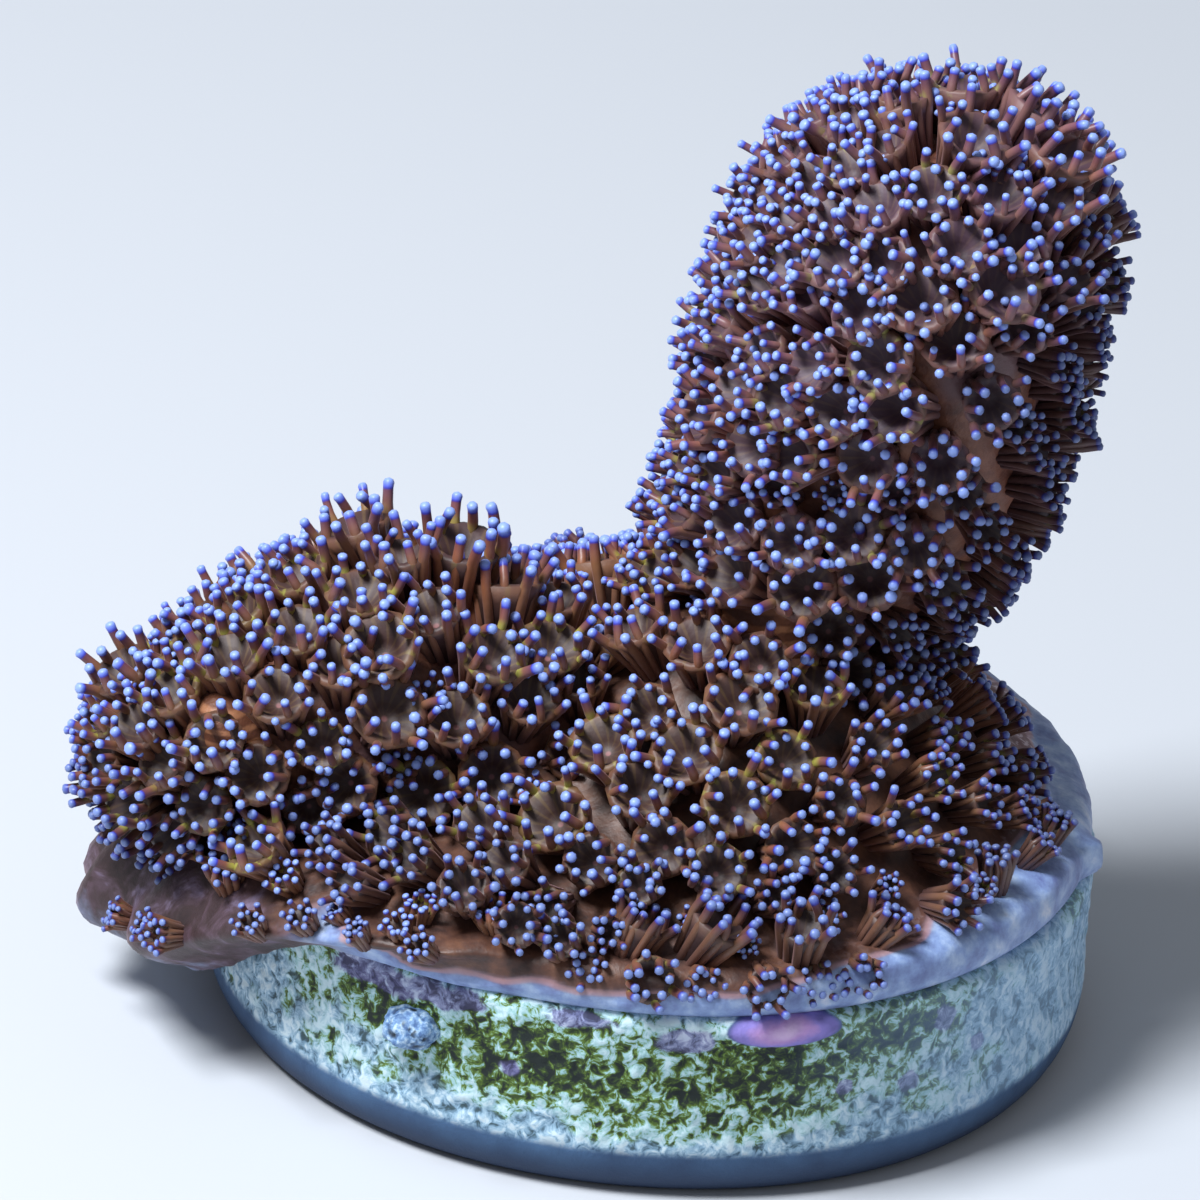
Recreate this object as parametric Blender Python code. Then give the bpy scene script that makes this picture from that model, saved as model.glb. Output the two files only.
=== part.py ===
"""A smooth cauliflower coral growing on a ceramic plug disc, in metres, +Z up.

The origin is the centre of the disc's flat underside. +X runs to the tall branch's side, and -Y faces the
viewer. The colony grew as one piece. It is parted at its main fork into an encrusting base, a low branch
that reaches out to the left, and a tall branch that rises on the right. Each branch's root sits in a socket
of the base. Each polyp is a flared cup with five to seven sides, drawn up out of the tissue it grows from.
"""

import math

import bmesh
import bpy
import numpy as np
from mathutils import Vector
from mathutils.geometry import delaunay_2d_cdt

MM = 0.001
GAP = 0.3 * MM  # clearance between pieces that lie against each other
FRONT = np.array([0.0, -1.0, 0.0])
UP = np.array([0.0, 0.0, 1.0])

# The ceramic disc
DISC_RADIUS = 12.5 * MM
DISC_HEIGHT = 5.8 * MM
DISC_FOOT_RADIUS = 11.5 * MM  # where the rounded lower edge meets the flat underside
DISC_TURN_HEIGHT = 1.6 * MM  # where the wall starts to turn in
DISC_TOP_BEVEL = 0.4 * MM
DISC_SIDES = 60
DISC_WAVINESS = 0.006  # share of the radius by which the hand-pressed disc leaves the circle

# A crusty nodule on the disc's wall
NODULE_RADIUS = 0.8 * MM
NODULE_BEARING = math.radians(238)
NODULE_LEVEL = 3.9 * MM

# The encrusting base: a plate over the disc's top that swells into a mound at the foot of the tall branch
BASE_BOTTOM = DISC_HEIGHT + GAP
BASE_SIDES = 60
PLATE_DOME = 1.1 * MM
FOOT_AT = np.array([2.4, -1.4]) * MM
FOOT_RISE = 5.2 * MM
FOOT_SPREAD = 5.9 * MM
# Its section from the flat underside over the rounded growing edge to where the polyps start, as radius and
# height above the underside: first where it ends on the rim, then where it hangs over the rim as a skirt
PLAIN_EDGE = MM * np.array([(11.3, 0), (11.9, 0), (12.35, 0.3), (12.3, 0.75), (11.9, 1.05), (11.2, 1.25)])
SKIRT_EDGE = MM * np.array([(11.3, 0), (12.95, 0), (13.0, -4.2), (13.7, -4.5), (15.3, -3.2), (13.2, 0.6)])
SKIRT_BEARING = math.radians(192)
SKIRT_WIDTH = math.radians(27)
SKIRT_ONSET = 19  # how fast the radius starts to change where the skirt begins

# Polyps
POLYP_HEIGHT = 2.3 * MM
POLYP_PITCH = 2.08 * MM  # between neighbours, measured across their crowns
SMALLEST_POLYP = 0.7 * MM
POLYP_SHARES = (1.0, 0.7, 0.45)  # heights tried in turn where there is little room
WALL_STATIONS = (0.15, 0.5, 1.0)  # heights up a polyp's wall at which its room is tested
BARE_BEARING = math.radians(38)  # where the base's bare margin is widest
BARE_WIDTH = math.radians(45)
BARE_SHARE = 0.32
EDGE_POLYP_SHARE = 0.45  # height of the young polyps at the base's growing edge, as a share of the full one
BACK_POLYP_SHARE = 0.42  # height of the shaded polyps at the back of the base, as such a share
BACK_BEARING = math.radians(110)
BACK_WIDTH = math.radians(50)
POLYP_UNEVEN = 0.08  # share by which neighbours differ in height
POLYP_BEAT = 2.4
CROWN_FILL = 0.8  # crown width as a share of the room between its neighbours
CROWN_DISH = 0.8 * MM
BRANCH_LEAN = 0.25  # how far the branches' polyps turn up from their surface's normal
BASE_LEAN = 1.5  # how far the base's polyps turn outward at its edge
GOLDEN_ANGLE = math.pi * (3 - math.sqrt(5))

PROFILE_STEPS = 300
RING_SIDES = 18  # sides of a branch's smooth root
RING_STEPS = 3
SOCKET_SIDES = 24
SOCKET_STEPS = 12
STEP = 2e-3  # for slopes taken as differences


def bezier(controls, t):
    """Bezier curve of any degree: each control counts by its Bernstein polynomial of t."""
    n = len(controls) - 1
    weights = [math.comb(n, i) * t**i * (1 - t) ** (n - i) for i in range(n + 1)]
    return np.tensordot(np.array(weights), controls, axes=(0, 0))


def unit(vectors):
    return vectors / np.linalg.norm(vectors, axis=-1, keepdims=True)


def smooth_step(x):
    x = np.clip(x, 0, 1)
    return x * x * (3 - 2 * x)


class Branch:
    """A thick blunt branch: a round section carried along a Bezier centreline, from flat root to domed tip.

    t runs from 0 at the root to 1 at the tip, and a is the angle round the centreline from the front.
    Polyps grow from root_end up to the tip. The plane that they are set out on has the tip at its centre
    and the ring at root_end as its unit circle, and keeps the angles of the crowns' surface.
    """

    def __init__(self, path, radii, root_end, tip_round, hills, turn):
        self.path = np.array(path) * MM
        self.radii = np.array(radii) * MM
        self.root_end = root_end
        self.tip_round = tip_round
        self.hills = hills
        self.turn = math.radians(turn)
        self._measure()

    def centre(self, t):
        return bezier(self.path, t)

    def radius(self, t):
        """The control radii's Bezier, closed at the tip as a quarter ellipse."""
        into_tip = np.clip((t - 1 + self.tip_round) / self.tip_round, 0, 1)
        return bezier(self.radii, t) * np.sqrt(1 - into_tip**2)

    def swell(self, t, a):
        """Share of the radius added by long ripples and by hills, which fade as bell curves in t and a."""
        total = 0.03 * np.sin(3 * a + 9 * t) + 0.025 * np.sin(2 * a - 14 * t)
        for at_t, at_degrees, share, wide_t, wide_degrees in self.hills:
            away = (np.degrees(a) - at_degrees + 180) % 360 - 180
            total = total + share * np.exp(-(((t - at_t) / wide_t) ** 2) - (away / wide_degrees) ** 2)
        return total

    def point(self, t, a, grow=0.0):
        """Centreline point plus the swollen radius in direction a, which is turned from the front."""
        along = unit(self.centre(np.minimum(t + STEP, 1)) - self.centre(np.maximum(t - STEP, 0)))
        first = unit(FRONT - along * (along @ FRONT)[:, None])
        second = np.cross(along, first)
        out = first * np.cos(a)[:, None] + second * np.sin(a)[:, None]
        return self.centre(t) + out * (self.radius(t) * (1 + self.swell(t, a)) + grow)[:, None]

    def lean(self, t, a):
        """Direction of a polyp: the surface's normal, from its slopes in a and t, turned a little up."""
        t = np.clip(t, 2 * STEP, 1 - 2 * STEP)
        round_it = self.point(t, a + STEP) - self.point(t, a - STEP)
        along_it = self.point(t + STEP, a) - self.point(t - STEP, a)
        return unit(unit(np.cross(round_it, along_it)) + UP * BRANCH_LEAN)

    def _measure(self):
        """Tables of t against the crowns' area, and against their travel over radius, for the plane map."""
        t = 1 - (1 - self.root_end) * (1 - np.sin(np.linspace(0, math.pi / 2 - 0.003, PROFILE_STEPS)))
        sides = 12
        tt = np.repeat(t, sides)
        aa = np.tile(np.linspace(0, 2 * math.pi, sides, endpoint=False), PROFILE_STEPS)
        crowns = (self.point(tt, aa) + self.lean(tt, aa) * POLYP_HEIGHT).reshape(-1, sides, 3)
        middle = crowns.mean(axis=1, keepdims=True)
        wide = np.linalg.norm(crowns - middle, axis=2).mean(axis=1)
        travel = np.linalg.norm(np.diff(crowns, axis=0), axis=2).mean(axis=1)
        wide = (wide[1:] + wide[:-1]) / 2
        self.t_table = t
        self.area_table = np.concatenate([[0], np.cumsum(2 * math.pi * wide * travel)])
        self.log_table = np.concatenate([[0], np.cumsum(travel / wide)])

    def plane(self, t, a):
        far = np.exp(-np.interp(t, self.t_table, self.log_table))
        return np.stack([far * np.cos(a), far * np.sin(a)], axis=1)

    def place(self, flat):
        """Point and polyp direction on the branch for each point of the plane."""
        t = np.interp(-np.log(np.hypot(flat[:, 0], flat[:, 1])), self.log_table, self.t_table)
        a = np.arctan2(flat[:, 1], flat[:, 0])
        return self.point(t, a), self.lean(t, a)

    def sites(self):
        """Plane points of the polyps: equal steps of crown area up the branch, a golden angle apart."""
        count = int(self.area_table[-1] / (POLYP_PITCH**2 * math.sqrt(3) / 2))
        index = np.arange(count)
        t = np.interp((index + 0.5) / count * self.area_table[-1], self.area_table, self.t_table)
        return self.plane(t, index * GOLDEN_ANGLE + self.turn)

    def clearance(self, points):
        """Distance of each point from the branch's tissue, measured from its centreline's nearest point."""
        t = np.linspace(0, 1, 80)
        away = np.linalg.norm(points[:, None] - self.centre(t)[None], axis=2) - self.radius(t)[None]
        return away.min(axis=1)


LEFT = Branch(
    path=[(-1.2, -0.9, 8.6), (-5.0, -2.8, 9.6), (-9.5, -3.4, 10.0), (-15.0, -3.0, 7.4)],
    radii=[2.4, 2.9, 3.1, 2.3],
    root_end=0.1,
    tip_round=0.17,
    hills=[(0.52, 115, 0.44, 0.14, 42), (0.85, -60, 0.08, 0.12, 50), (0.95, 110, -0.25, 0.16, 70)],
    turn=20,
)
RIGHT = Branch(
    path=[(3.3, 1.2, 10.4), (3.4, 1.0, 14.0), (6.4, -0.2, 19.5), (6.3, -0.4, 27.4)],
    radii=[3.6, 3.2, 4.8, 4.1],
    root_end=0.1,
    tip_round=0.2,
    hills=[(0.6, 95, 0.08, 0.15, 50)],
    turn=0,
)


def bell(bearing, middle, width):
    """One at the middle bearing, fading to nothing on both sides of it."""
    away = (bearing - middle + math.pi) % (2 * math.pi) - math.pi
    return np.exp(-((away / width) ** 2))


def base_section(bearing):
    """Radii and heights of the base's section: the plain edge's and the skirt's, mixed by a bell curve.

    The radius changes sooner than the height, so that the skirt clears the rim before it drops past it.
    """
    share = bell(bearing, SKIRT_BEARING, SKIRT_WIDTH)[:, None]
    sooner = np.minimum(share**0.25, share * SKIRT_ONSET)
    change = SKIRT_EDGE - PLAIN_EDGE
    return PLAIN_EDGE[:, 0] + change[:, 0] * sooner, BASE_BOTTOM + PLAIN_EDGE[:, 1] + change[:, 1] * share


def base_top(x, y, share_out, edge_height):
    """Height of the mound: its edge, plus a low dome, plus a bell curve at the tall branch's foot."""
    dome = PLATE_DOME * (1 - share_out**2) ** 0.75
    foot = FOOT_RISE * np.exp(-((x - FOOT_AT[0]) ** 2 + (y - FOOT_AT[1]) ** 2) / FOOT_SPREAD**2)
    return edge_height + dome + foot * (1 - share_out**4)


def base_point(flat):
    """Point on the mound for each point of the unit circle's plane."""
    share_out = np.clip(np.hypot(flat[:, 0], flat[:, 1]), 0, 1)
    bearing = np.arctan2(flat[:, 1], flat[:, 0])
    radius, height = base_section(bearing)
    reach = share_out * radius[:, -1]
    x, y = reach * np.cos(bearing), reach * np.sin(bearing)
    return np.stack([x, y, base_top(x, y, share_out, height[:, -1])], axis=1)


def base_place(flat):
    """Point and polyp direction: the mound's normal, turned outward with the cube of the way out."""
    inner = flat * np.minimum(1, 0.99 / np.maximum(np.hypot(flat[:, 0], flat[:, 1]), STEP))[:, None]
    across = base_point(inner + [STEP, 0]) - base_point(inner - [STEP, 0])
    away = base_point(inner + [0, STEP]) - base_point(inner - [0, STEP])
    outward = np.concatenate([flat, np.zeros((len(flat), 1))], axis=1)
    share_out = np.linalg.norm(outward, axis=1, keepdims=True)
    return base_point(flat), unit(unit(np.cross(across, away)) + outward * BASE_LEAN * share_out**2)


def base_sites():
    """Plane points of the base's polyps: a golden-angle spiral with equal room for each."""
    room = math.pi * PLAIN_EDGE[-1, 0] ** 2 / (POLYP_PITCH**2 * math.sqrt(3) / 2)
    index = np.arange(int(room))
    far = np.sqrt((index + 0.5) / (len(index) + 0.5))
    return np.stack([far * np.cos(index * GOLDEN_ANGLE), far * np.sin(index * GOLDEN_ANGLE)], axis=1)


def base_height_under(points):
    """Height of the base's top under each point, or far below where there is no base."""
    bearing = np.arctan2(points[:, 1], points[:, 0])
    radius, height = base_section(bearing)
    share_out = np.hypot(points[:, 0], points[:, 1]) / radius[:, -1]
    top = base_top(points[:, 0], points[:, 1], np.clip(share_out, 0, 1), height[:, -1])
    return np.where(share_out < 1.1, top, -1.0)


def branch_room(other):
    """Full height of a branch's polyp at each point: no more than halfway to the other branch."""
    return lambda points: np.minimum(POLYP_HEIGHT, other.clearance(points) / 2 - GAP)


def branch_blocked(axis, wall):
    """Whether any point of a branch polyp's wall comes too near the base."""
    return bool(np.any(wall[:, 2] < base_height_under(wall) + 1.5 * GAP))


def base_room(points):
    """Full height of a base polyp at each point: less at the edge and the back, none on the bare margin."""
    far = np.hypot(points[:, 0], points[:, 1]) / PLAIN_EDGE[-1, 0]
    bearing = np.arctan2(points[:, 1], points[:, 0])
    height = POLYP_HEIGHT * (1 - (1 - EDGE_POLYP_SHARE) * smooth_step((far - 0.7) / 0.3))
    back = bell(bearing, BACK_BEARING, BACK_WIDTH) * smooth_step((far - 0.3) / 0.4)
    height = height * (1 - (1 - BACK_POLYP_SHARE) * back)
    return np.where(far < 1 - BARE_SHARE * bell(bearing, BARE_BEARING, BARE_WIDTH), height, 0)


def base_blocked(axis, wall):
    """Whether a base polyp's wall comes too near a branch's tissue, or its axis too near its polyps."""
    if np.any(np.minimum(LEFT.clearance(wall), RIGHT.clearance(wall)) < 2 * GAP):
        return True
    polyps = np.concatenate([LEFT.axes, RIGHT.axes])
    apart = np.linalg.norm(axis[:, None, :3] - polyps[None, :, :3], axis=2)
    return bool(np.any(apart < (axis[:, None, 3] + polyps[None, :, 3]) / 2 + GAP))


def polyp_width(up):
    """Width of a polyp at a share of its height: its foot is about half as wide as the pitch."""
    return POLYP_PITCH * (0.5 + (CROWN_FILL - 0.5) * up)


def raise_polyp(foot, way, feet, ways, full, blocked):
    """The tallest polyp that fits on a cell: its rim, its mouth and its axis, or None.

    foot and way are the cell's middle and its direction, and feet and ways those of its corners. The rim is
    the cell at crown height, drawn in towards the crown's middle. The axis lists points and the width there.
    """
    for share in POLYP_SHARES:
        height = full * share
        if height < SMALLEST_POLYP:
            return None
        crown = foot + way * height
        rim = crown + (feet + ways * height - crown) * CROWN_FILL
        wall = np.concatenate([feet + (rim - feet) * up for up in WALL_STATIONS])
        axis = np.array([[*(foot + way * height * up), polyp_width(up)] for up in WALL_STATIONS])
        if not blocked(axis, wall):
            return rim, crown - way * CROWN_DISH, axis
    return None


def triangulate(flat):
    """Delaunay triangles over the sites of the plane, as rows of three site numbers."""
    _, _, faces, sources, _, _ = delaunay_2d_cdt([Vector(p) for p in flat], [], [], 0, 1e-9)
    return np.array([[sources[i][0] for i in face] for face in faces])


def cells_of(flat, triangles, middles):
    """For each site the numbers of its triangles, in order round it."""
    cells = [[] for _ in flat]
    for number, triangle in enumerate(triangles):
        for site in triangle:
            cells[site].append(number)
    for site, cell in enumerate(cells):
        away = middles[cell] - flat[site]
        cells[site] = [cell[i] for i in np.argsort(np.arctan2(away[:, 1], away[:, 0]))]
    return cells


def grow_polyps(bm, flat, ring_count, place, room, blocked):
    """Mesh of a surface and its polyps over a disc of the plane.

    The middles of the Delaunay triangles round a site are the corners of its cell. A polyp's walls rise
    from those corners, and a site with no room is a plain fan. The last ring_count sites are the unit
    circle's own vertices. Returns the vertices of that circle, and the axes of the polyps.
    """
    triangles = triangulate(flat)
    middles = flat[triangles].mean(axis=1)
    feet, ways = place(middles)
    foot, way = place(flat)
    uneven = 1 + POLYP_UNEVEN * np.sin(POLYP_BEAT * np.arange(len(flat)))
    full = room(foot) * uneven
    first_ring = len(flat) - ring_count
    corners = [bm.verts.new(p) for p in feet]
    centres, axes = {}, []
    for site, cell in enumerate(cells_of(flat, triangles, middles)):
        pairs = list(zip(cell, cell[1:] + cell[:1]))
        grown = None
        if site < first_ring:
            grown = raise_polyp(foot[site], way[site], feet[cell], ways[cell], full[site], blocked)
        if grown:
            rim = [bm.verts.new(p) for p in grown[0]]
            mouth = bm.verts.new(grown[1])
            axes.append(grown[2])
            for k, (one, two) in enumerate(pairs):
                after = rim[(k + 1) % len(rim)]
                bm.faces.new((corners[one], corners[two], after, rim[k]))
                bm.faces.new((rim[k], after, mouth))
            continue
        centres[site] = bm.verts.new(foot[site])
        for one, two in pairs if len(pairs) > 2 else pairs[:1]:
            if len(set(triangles[one]) & set(triangles[two])) == 2:
                bm.faces.new((centres[site], corners[one], corners[two]))
    ring = [centres[site] for site in range(first_ring, len(flat))]
    close_ring(bm, ring, first_ring, triangles, corners)
    return ring, np.concatenate(axes)


def close_ring(bm, ring, first_ring, triangles, corners):
    """Fills from each side of the unit circle to the middle of the triangle that stands on it."""
    on_edge = {}
    for number, triangle in enumerate(triangles):
        for k in range(3):
            on_edge[frozenset((triangle[k], triangle[(k + 1) % 3]))] = number
    for k in range(len(ring)):
        following = (k + 1) % len(ring)
        number = on_edge[frozenset((first_ring + k, first_ring + following))]
        bm.faces.new((ring[k], ring[following], corners[number]))


def bridge(bm, lower, upper):
    """Joins two rings of the same count with quads."""
    for k in range(len(lower)):
        following = (k + 1) % len(lower)
        bm.faces.new((lower[k], lower[following], upper[following], upper[k]))


def unit_circle(count):
    turn = np.linspace(0, 2 * math.pi, count, endpoint=False)
    return turn, np.stack([np.cos(turn), np.sin(turn)], axis=1)


def finish(bm, name, material):
    bmesh.ops.recalc_face_normals(bm, faces=bm.faces)
    mesh = bpy.data.meshes.new(name)
    bm.to_mesh(mesh)
    bm.free()
    mesh.materials.append(material)
    piece = bpy.data.objects.new(name, mesh)
    bpy.context.scene.collection.objects.link(piece)
    return piece


def make_material(name, colour, roughness):
    material = bpy.data.materials.new(name)
    material.use_nodes = True
    shader = material.node_tree.nodes["Principled BSDF"]
    shader.inputs["Base Color"].default_value = (*colour, 1)
    shader.inputs["Roughness"].default_value = roughness
    shader.inputs["Metallic"].default_value = 0
    return material


def build_branch(name, branch, other, material):
    """The branch's polyps, then its smooth root down to the flat end where it was parted from the base."""
    bm = bmesh.new()
    turn, circle = unit_circle(RING_SIDES)
    flat = np.concatenate([branch.sites(), circle])
    upper, branch.axes = grow_polyps(bm, flat, RING_SIDES, branch.place, branch_room(other), branch_blocked)
    for step in range(RING_STEPS - 1, -1, -1):
        t = np.full(RING_SIDES, branch.root_end * step / RING_STEPS)
        lower = [bm.verts.new(p) for p in branch.point(t, turn)]
        bridge(bm, lower, upper)
        upper = lower
    bm.faces.new(upper)
    return finish(bm, name, material)


def build_socket_cutter(name, branch):
    """The branch's smooth form, grown by the gap, with its flat end the gap lower."""
    bm = bmesh.new()
    turn, _ = unit_circle(SOCKET_SIDES)
    start = np.zeros(1)
    down = unit(branch.centre(start) - branch.centre(start + STEP))[0] * GAP
    lower = [bm.verts.new(p + down) for p in branch.point(np.zeros(SOCKET_SIDES), turn, GAP)]
    bm.faces.new(lower)
    for step in range(1, SOCKET_STEPS):
        share = math.sin(math.pi / 2 * step / SOCKET_STEPS)
        upper = [bm.verts.new(p) for p in branch.point(np.full(SOCKET_SIDES, share), turn, GAP)]
        bridge(bm, lower, upper)
        lower = upper
    bm.faces.new(lower)
    cutter = finish(bm, name, make_material(name, (1, 1, 1), 0.5))
    cutter.hide_render = True
    cutter.display_type = "WIRE"
    return cutter


def build_base(material):
    """The mound and its polyps, the growing edge and the flat underside, with a socket for each branch."""
    bm = bmesh.new()
    turn, circle = unit_circle(BASE_SIDES)
    flat = np.concatenate([base_sites(), circle])
    upper, _ = grow_polyps(bm, flat, BASE_SIDES, base_place, base_room, base_blocked)
    radius, height = base_section(turn)
    for k in range(PLAIN_EDGE.shape[0] - 2, -1, -1):
        ring = np.stack([radius[:, k] * np.cos(turn), radius[:, k] * np.sin(turn), height[:, k]], axis=1)
        lower = [bm.verts.new(p) for p in ring]
        bridge(bm, lower, upper)
        upper = lower
    bm.faces.new(upper)
    base = finish(bm, "encrusting_base", material)
    for side, branch in (("left", LEFT), ("right", RIGHT)):
        cut = base.modifiers.new(f"{side}_socket", "BOOLEAN")
        cut.object = build_socket_cutter(f"{side}_socket_cutter", branch)
        cut.operation = "DIFFERENCE"
        cut.solver = "EXACT"
    return base


def disc_profile():
    """Half section of the disc, from the underside's edge to the top's: a quarter turn, a wall, a bevel."""
    points = []
    for step in range(5):
        turn = math.pi / 2 * step / 4
        points.append((
            DISC_FOOT_RADIUS + (DISC_RADIUS - DISC_FOOT_RADIUS) * math.sin(turn),
            DISC_TURN_HEIGHT * (1 - math.cos(turn)),
        ))
    points.append((DISC_RADIUS * 0.995, (DISC_TURN_HEIGHT + DISC_HEIGHT) / 2))
    points.append((DISC_RADIUS, DISC_HEIGHT - DISC_TOP_BEVEL))
    points.append((DISC_RADIUS - DISC_TOP_BEVEL, DISC_HEIGHT))
    return points


def build_disc(material):
    """The ceramic disc, a little out of round, with the crusty nodule joined to its wall."""
    bm = bmesh.new()
    turn, circle = unit_circle(DISC_SIDES)
    wave = 1 + DISC_WAVINESS * np.sin(2 * turn + 1) + DISC_WAVINESS / 2 * np.sin(5 * turn)
    rings = []
    for radius, height in disc_profile():
        rings.append([bm.verts.new((*(p * radius * w), height)) for p, w in zip(circle, wave)])
    for lower, upper in zip(rings, rings[1:]):
        bridge(bm, lower, upper)
    bm.faces.new(rings[0])
    bm.faces.new(rings[-1])
    disc = finish(bm, "plug_disc", material)

    lump = bmesh.new()
    bmesh.ops.create_icosphere(lump, subdivisions=1, radius=NODULE_RADIUS)
    heading = Vector((math.cos(NODULE_BEARING), math.sin(NODULE_BEARING), 0))
    squash = (1.0, 1.0, 0.75)
    bmesh.ops.scale(lump, vec=squash, verts=lump.verts)
    bmesh.ops.translate(lump, vec=heading * DISC_RADIUS + Vector((0, 0, NODULE_LEVEL)), verts=lump.verts)
    nodule = finish(lump, "nodule_joiner", material)
    nodule.hide_render = True
    nodule.display_type = "WIRE"
    join = disc.modifiers.new("nodule", "BOOLEAN")
    join.object = nodule
    join.operation = "UNION"
    join.solver = "EXACT"
    return disc


def clear_scene():
    for old in list(bpy.data.objects):
        bpy.data.objects.remove(old, do_unlink=True)


def main():
    clear_scene()
    ceramic = make_material("algae_grown_ceramic", (0.42, 0.52, 0.5), 0.85)
    tissue = make_material("brown_coral_tissue", (0.2, 0.085, 0.045), 0.5)
    build_disc(ceramic)
    build_branch("left_branch", LEFT, RIGHT, tissue)
    build_branch("right_branch", RIGHT, LEFT, tissue)
    build_base(tissue)


main()
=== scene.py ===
# %% [markdown]
# # A smooth cauliflower coral on its plug disc
#
# A small colony of stony coral has grown over a round ceramic disc. A tall blunt branch stands on the right
# and a low one reaches out to the left. The skeleton hardly shows: thousands of brown tentacles with pale
# blue knobs cover it. This lesson dresses the colony's solids with a skin of living tissue and one polyp
# for each cup of the solids. Nearly every shape here is a function of two numbers, worked out as whole
# arrays with numpy.

# %% Load the frame
import math

import bpy
import numpy as np
from mathutils import Matrix, Vector


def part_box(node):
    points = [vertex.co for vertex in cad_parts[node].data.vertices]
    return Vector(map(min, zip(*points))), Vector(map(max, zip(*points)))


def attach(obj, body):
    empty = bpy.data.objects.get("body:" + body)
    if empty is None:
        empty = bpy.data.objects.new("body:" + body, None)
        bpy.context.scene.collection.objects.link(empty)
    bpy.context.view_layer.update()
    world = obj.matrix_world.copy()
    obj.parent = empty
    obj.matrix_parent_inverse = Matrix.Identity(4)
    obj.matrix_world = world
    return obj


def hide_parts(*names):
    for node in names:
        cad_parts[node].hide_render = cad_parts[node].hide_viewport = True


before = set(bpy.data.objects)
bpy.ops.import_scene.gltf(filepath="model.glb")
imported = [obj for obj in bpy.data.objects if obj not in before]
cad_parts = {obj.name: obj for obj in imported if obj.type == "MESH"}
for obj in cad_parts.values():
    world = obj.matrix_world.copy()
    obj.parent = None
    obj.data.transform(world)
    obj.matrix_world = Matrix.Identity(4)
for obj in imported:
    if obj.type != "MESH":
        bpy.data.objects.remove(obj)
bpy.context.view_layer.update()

MM = 0.001
UP = np.array([0.0, 0.0, 1.0])
FRONT = np.array([0.0, -1.0, 0.0])
random = np.random.default_rng(20)

# %% [markdown]
# ## From arrays to meshes
#
# A grid of points becomes a surface when each point is joined to its neighbours. Every piece here is a
# closed tube, or many of them: squares between its rings and a fan of triangles at each end. Values worked
# out along with the points, such as how far along a tentacle a point is, are stored as attributes, and the
# materials read them.

# %% Helpers for grids and pieces
def unit(vectors):
    """Each vector divided by its length."""
    return vectors / np.linalg.norm(vectors, axis=-1, keepdims=True)


def smooth_step(x):
    """Zero below 0, one above 1, and 3x^2 - 2x^3 between them."""
    x = np.clip(x, 0, 1)
    return x * x * (3 - 2 * x)


def bell(bearing, middle, width):
    """One at the middle bearing, fading as exp of minus the squared distance over the squared width."""
    away = (bearing - middle + math.pi) % (2 * math.pi) - math.pi
    return np.exp(-((away / width) ** 2))


def tube_faces(rings, sides):
    """Squares and triangles of a closed tube: rings of points, then a point for each end.

    Point number i * sides + j is side j of ring i.
    """
    i, j = np.meshgrid(np.arange(rings - 1), np.arange(sides), indexing="ij")
    after = (j + 1) % sides
    a, b, c, d = i * sides + j, i * sides + after, (i + 1) * sides + after, (i + 1) * sides + j
    walls = np.stack([a, b, c, d], axis=-1).reshape(-1, 4)
    side = np.arange(sides)
    following = (side + 1) % sides
    last = (rings - 1) * sides
    start = np.stack([following, side, np.full(sides, rings * sides)], axis=1)
    end = np.stack([last + side, last + following, np.full(sides, rings * sides + 1)], axis=1)
    return walls, np.concatenate([start, end])


def repeated(faces, points_each, count):
    """The same faces for count copies of a shape, each copy's point numbers moved on by points_each."""
    moved_on = points_each * np.arange(count)[:, None, None]
    return tuple((corners[None] + moved_on).reshape(-1, corners.shape[1]) for corners in faces)


def new_piece(name, points, faces, material, stands_for=(), values=None):
    """A smooth mesh from points, squares and triangles, with one value per point in each named attribute."""
    mesh = bpy.data.meshes.new(name)
    points = np.ascontiguousarray(points.reshape(-1, 3), dtype=np.float32)
    squares, triangles = faces
    corners = np.concatenate([squares.ravel(), triangles.ravel()]).astype(np.int32)
    starts = np.concatenate([np.arange(len(squares)) * 4, squares.size + np.arange(len(triangles)) * 3])
    mesh.vertices.add(len(points))
    mesh.vertices.foreach_set("co", points.ravel())
    mesh.loops.add(len(corners))
    mesh.loops.foreach_set("vertex_index", corners)
    mesh.polygons.add(len(starts))
    mesh.polygons.foreach_set("loop_start", starts.astype(np.int32))
    for key, data in (values or {}).items():
        mesh.attributes.new(key, "FLOAT", "POINT").data.foreach_set("value", data.astype(np.float32).ravel())
    mesh.update(calc_edges=True)
    mesh.shade_smooth()
    mesh.materials.append(material)
    piece = bpy.data.objects.new(name, mesh)
    bpy.context.scene.collection.objects.link(piece)
    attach(piece, "root")
    for node in stands_for:
        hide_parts(node)
    print(f"{name}: {2 * len(squares) + len(triangles)} triangles")
    return piece


# %% [markdown]
# ## Material helpers
#
# Each finish is a small network of shader nodes. These helpers keep the networks short to read: one adds a
# node and sets its inputs, one turns a value into a colour by a ramp, one reads an attribute and one makes
# noise.

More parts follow.
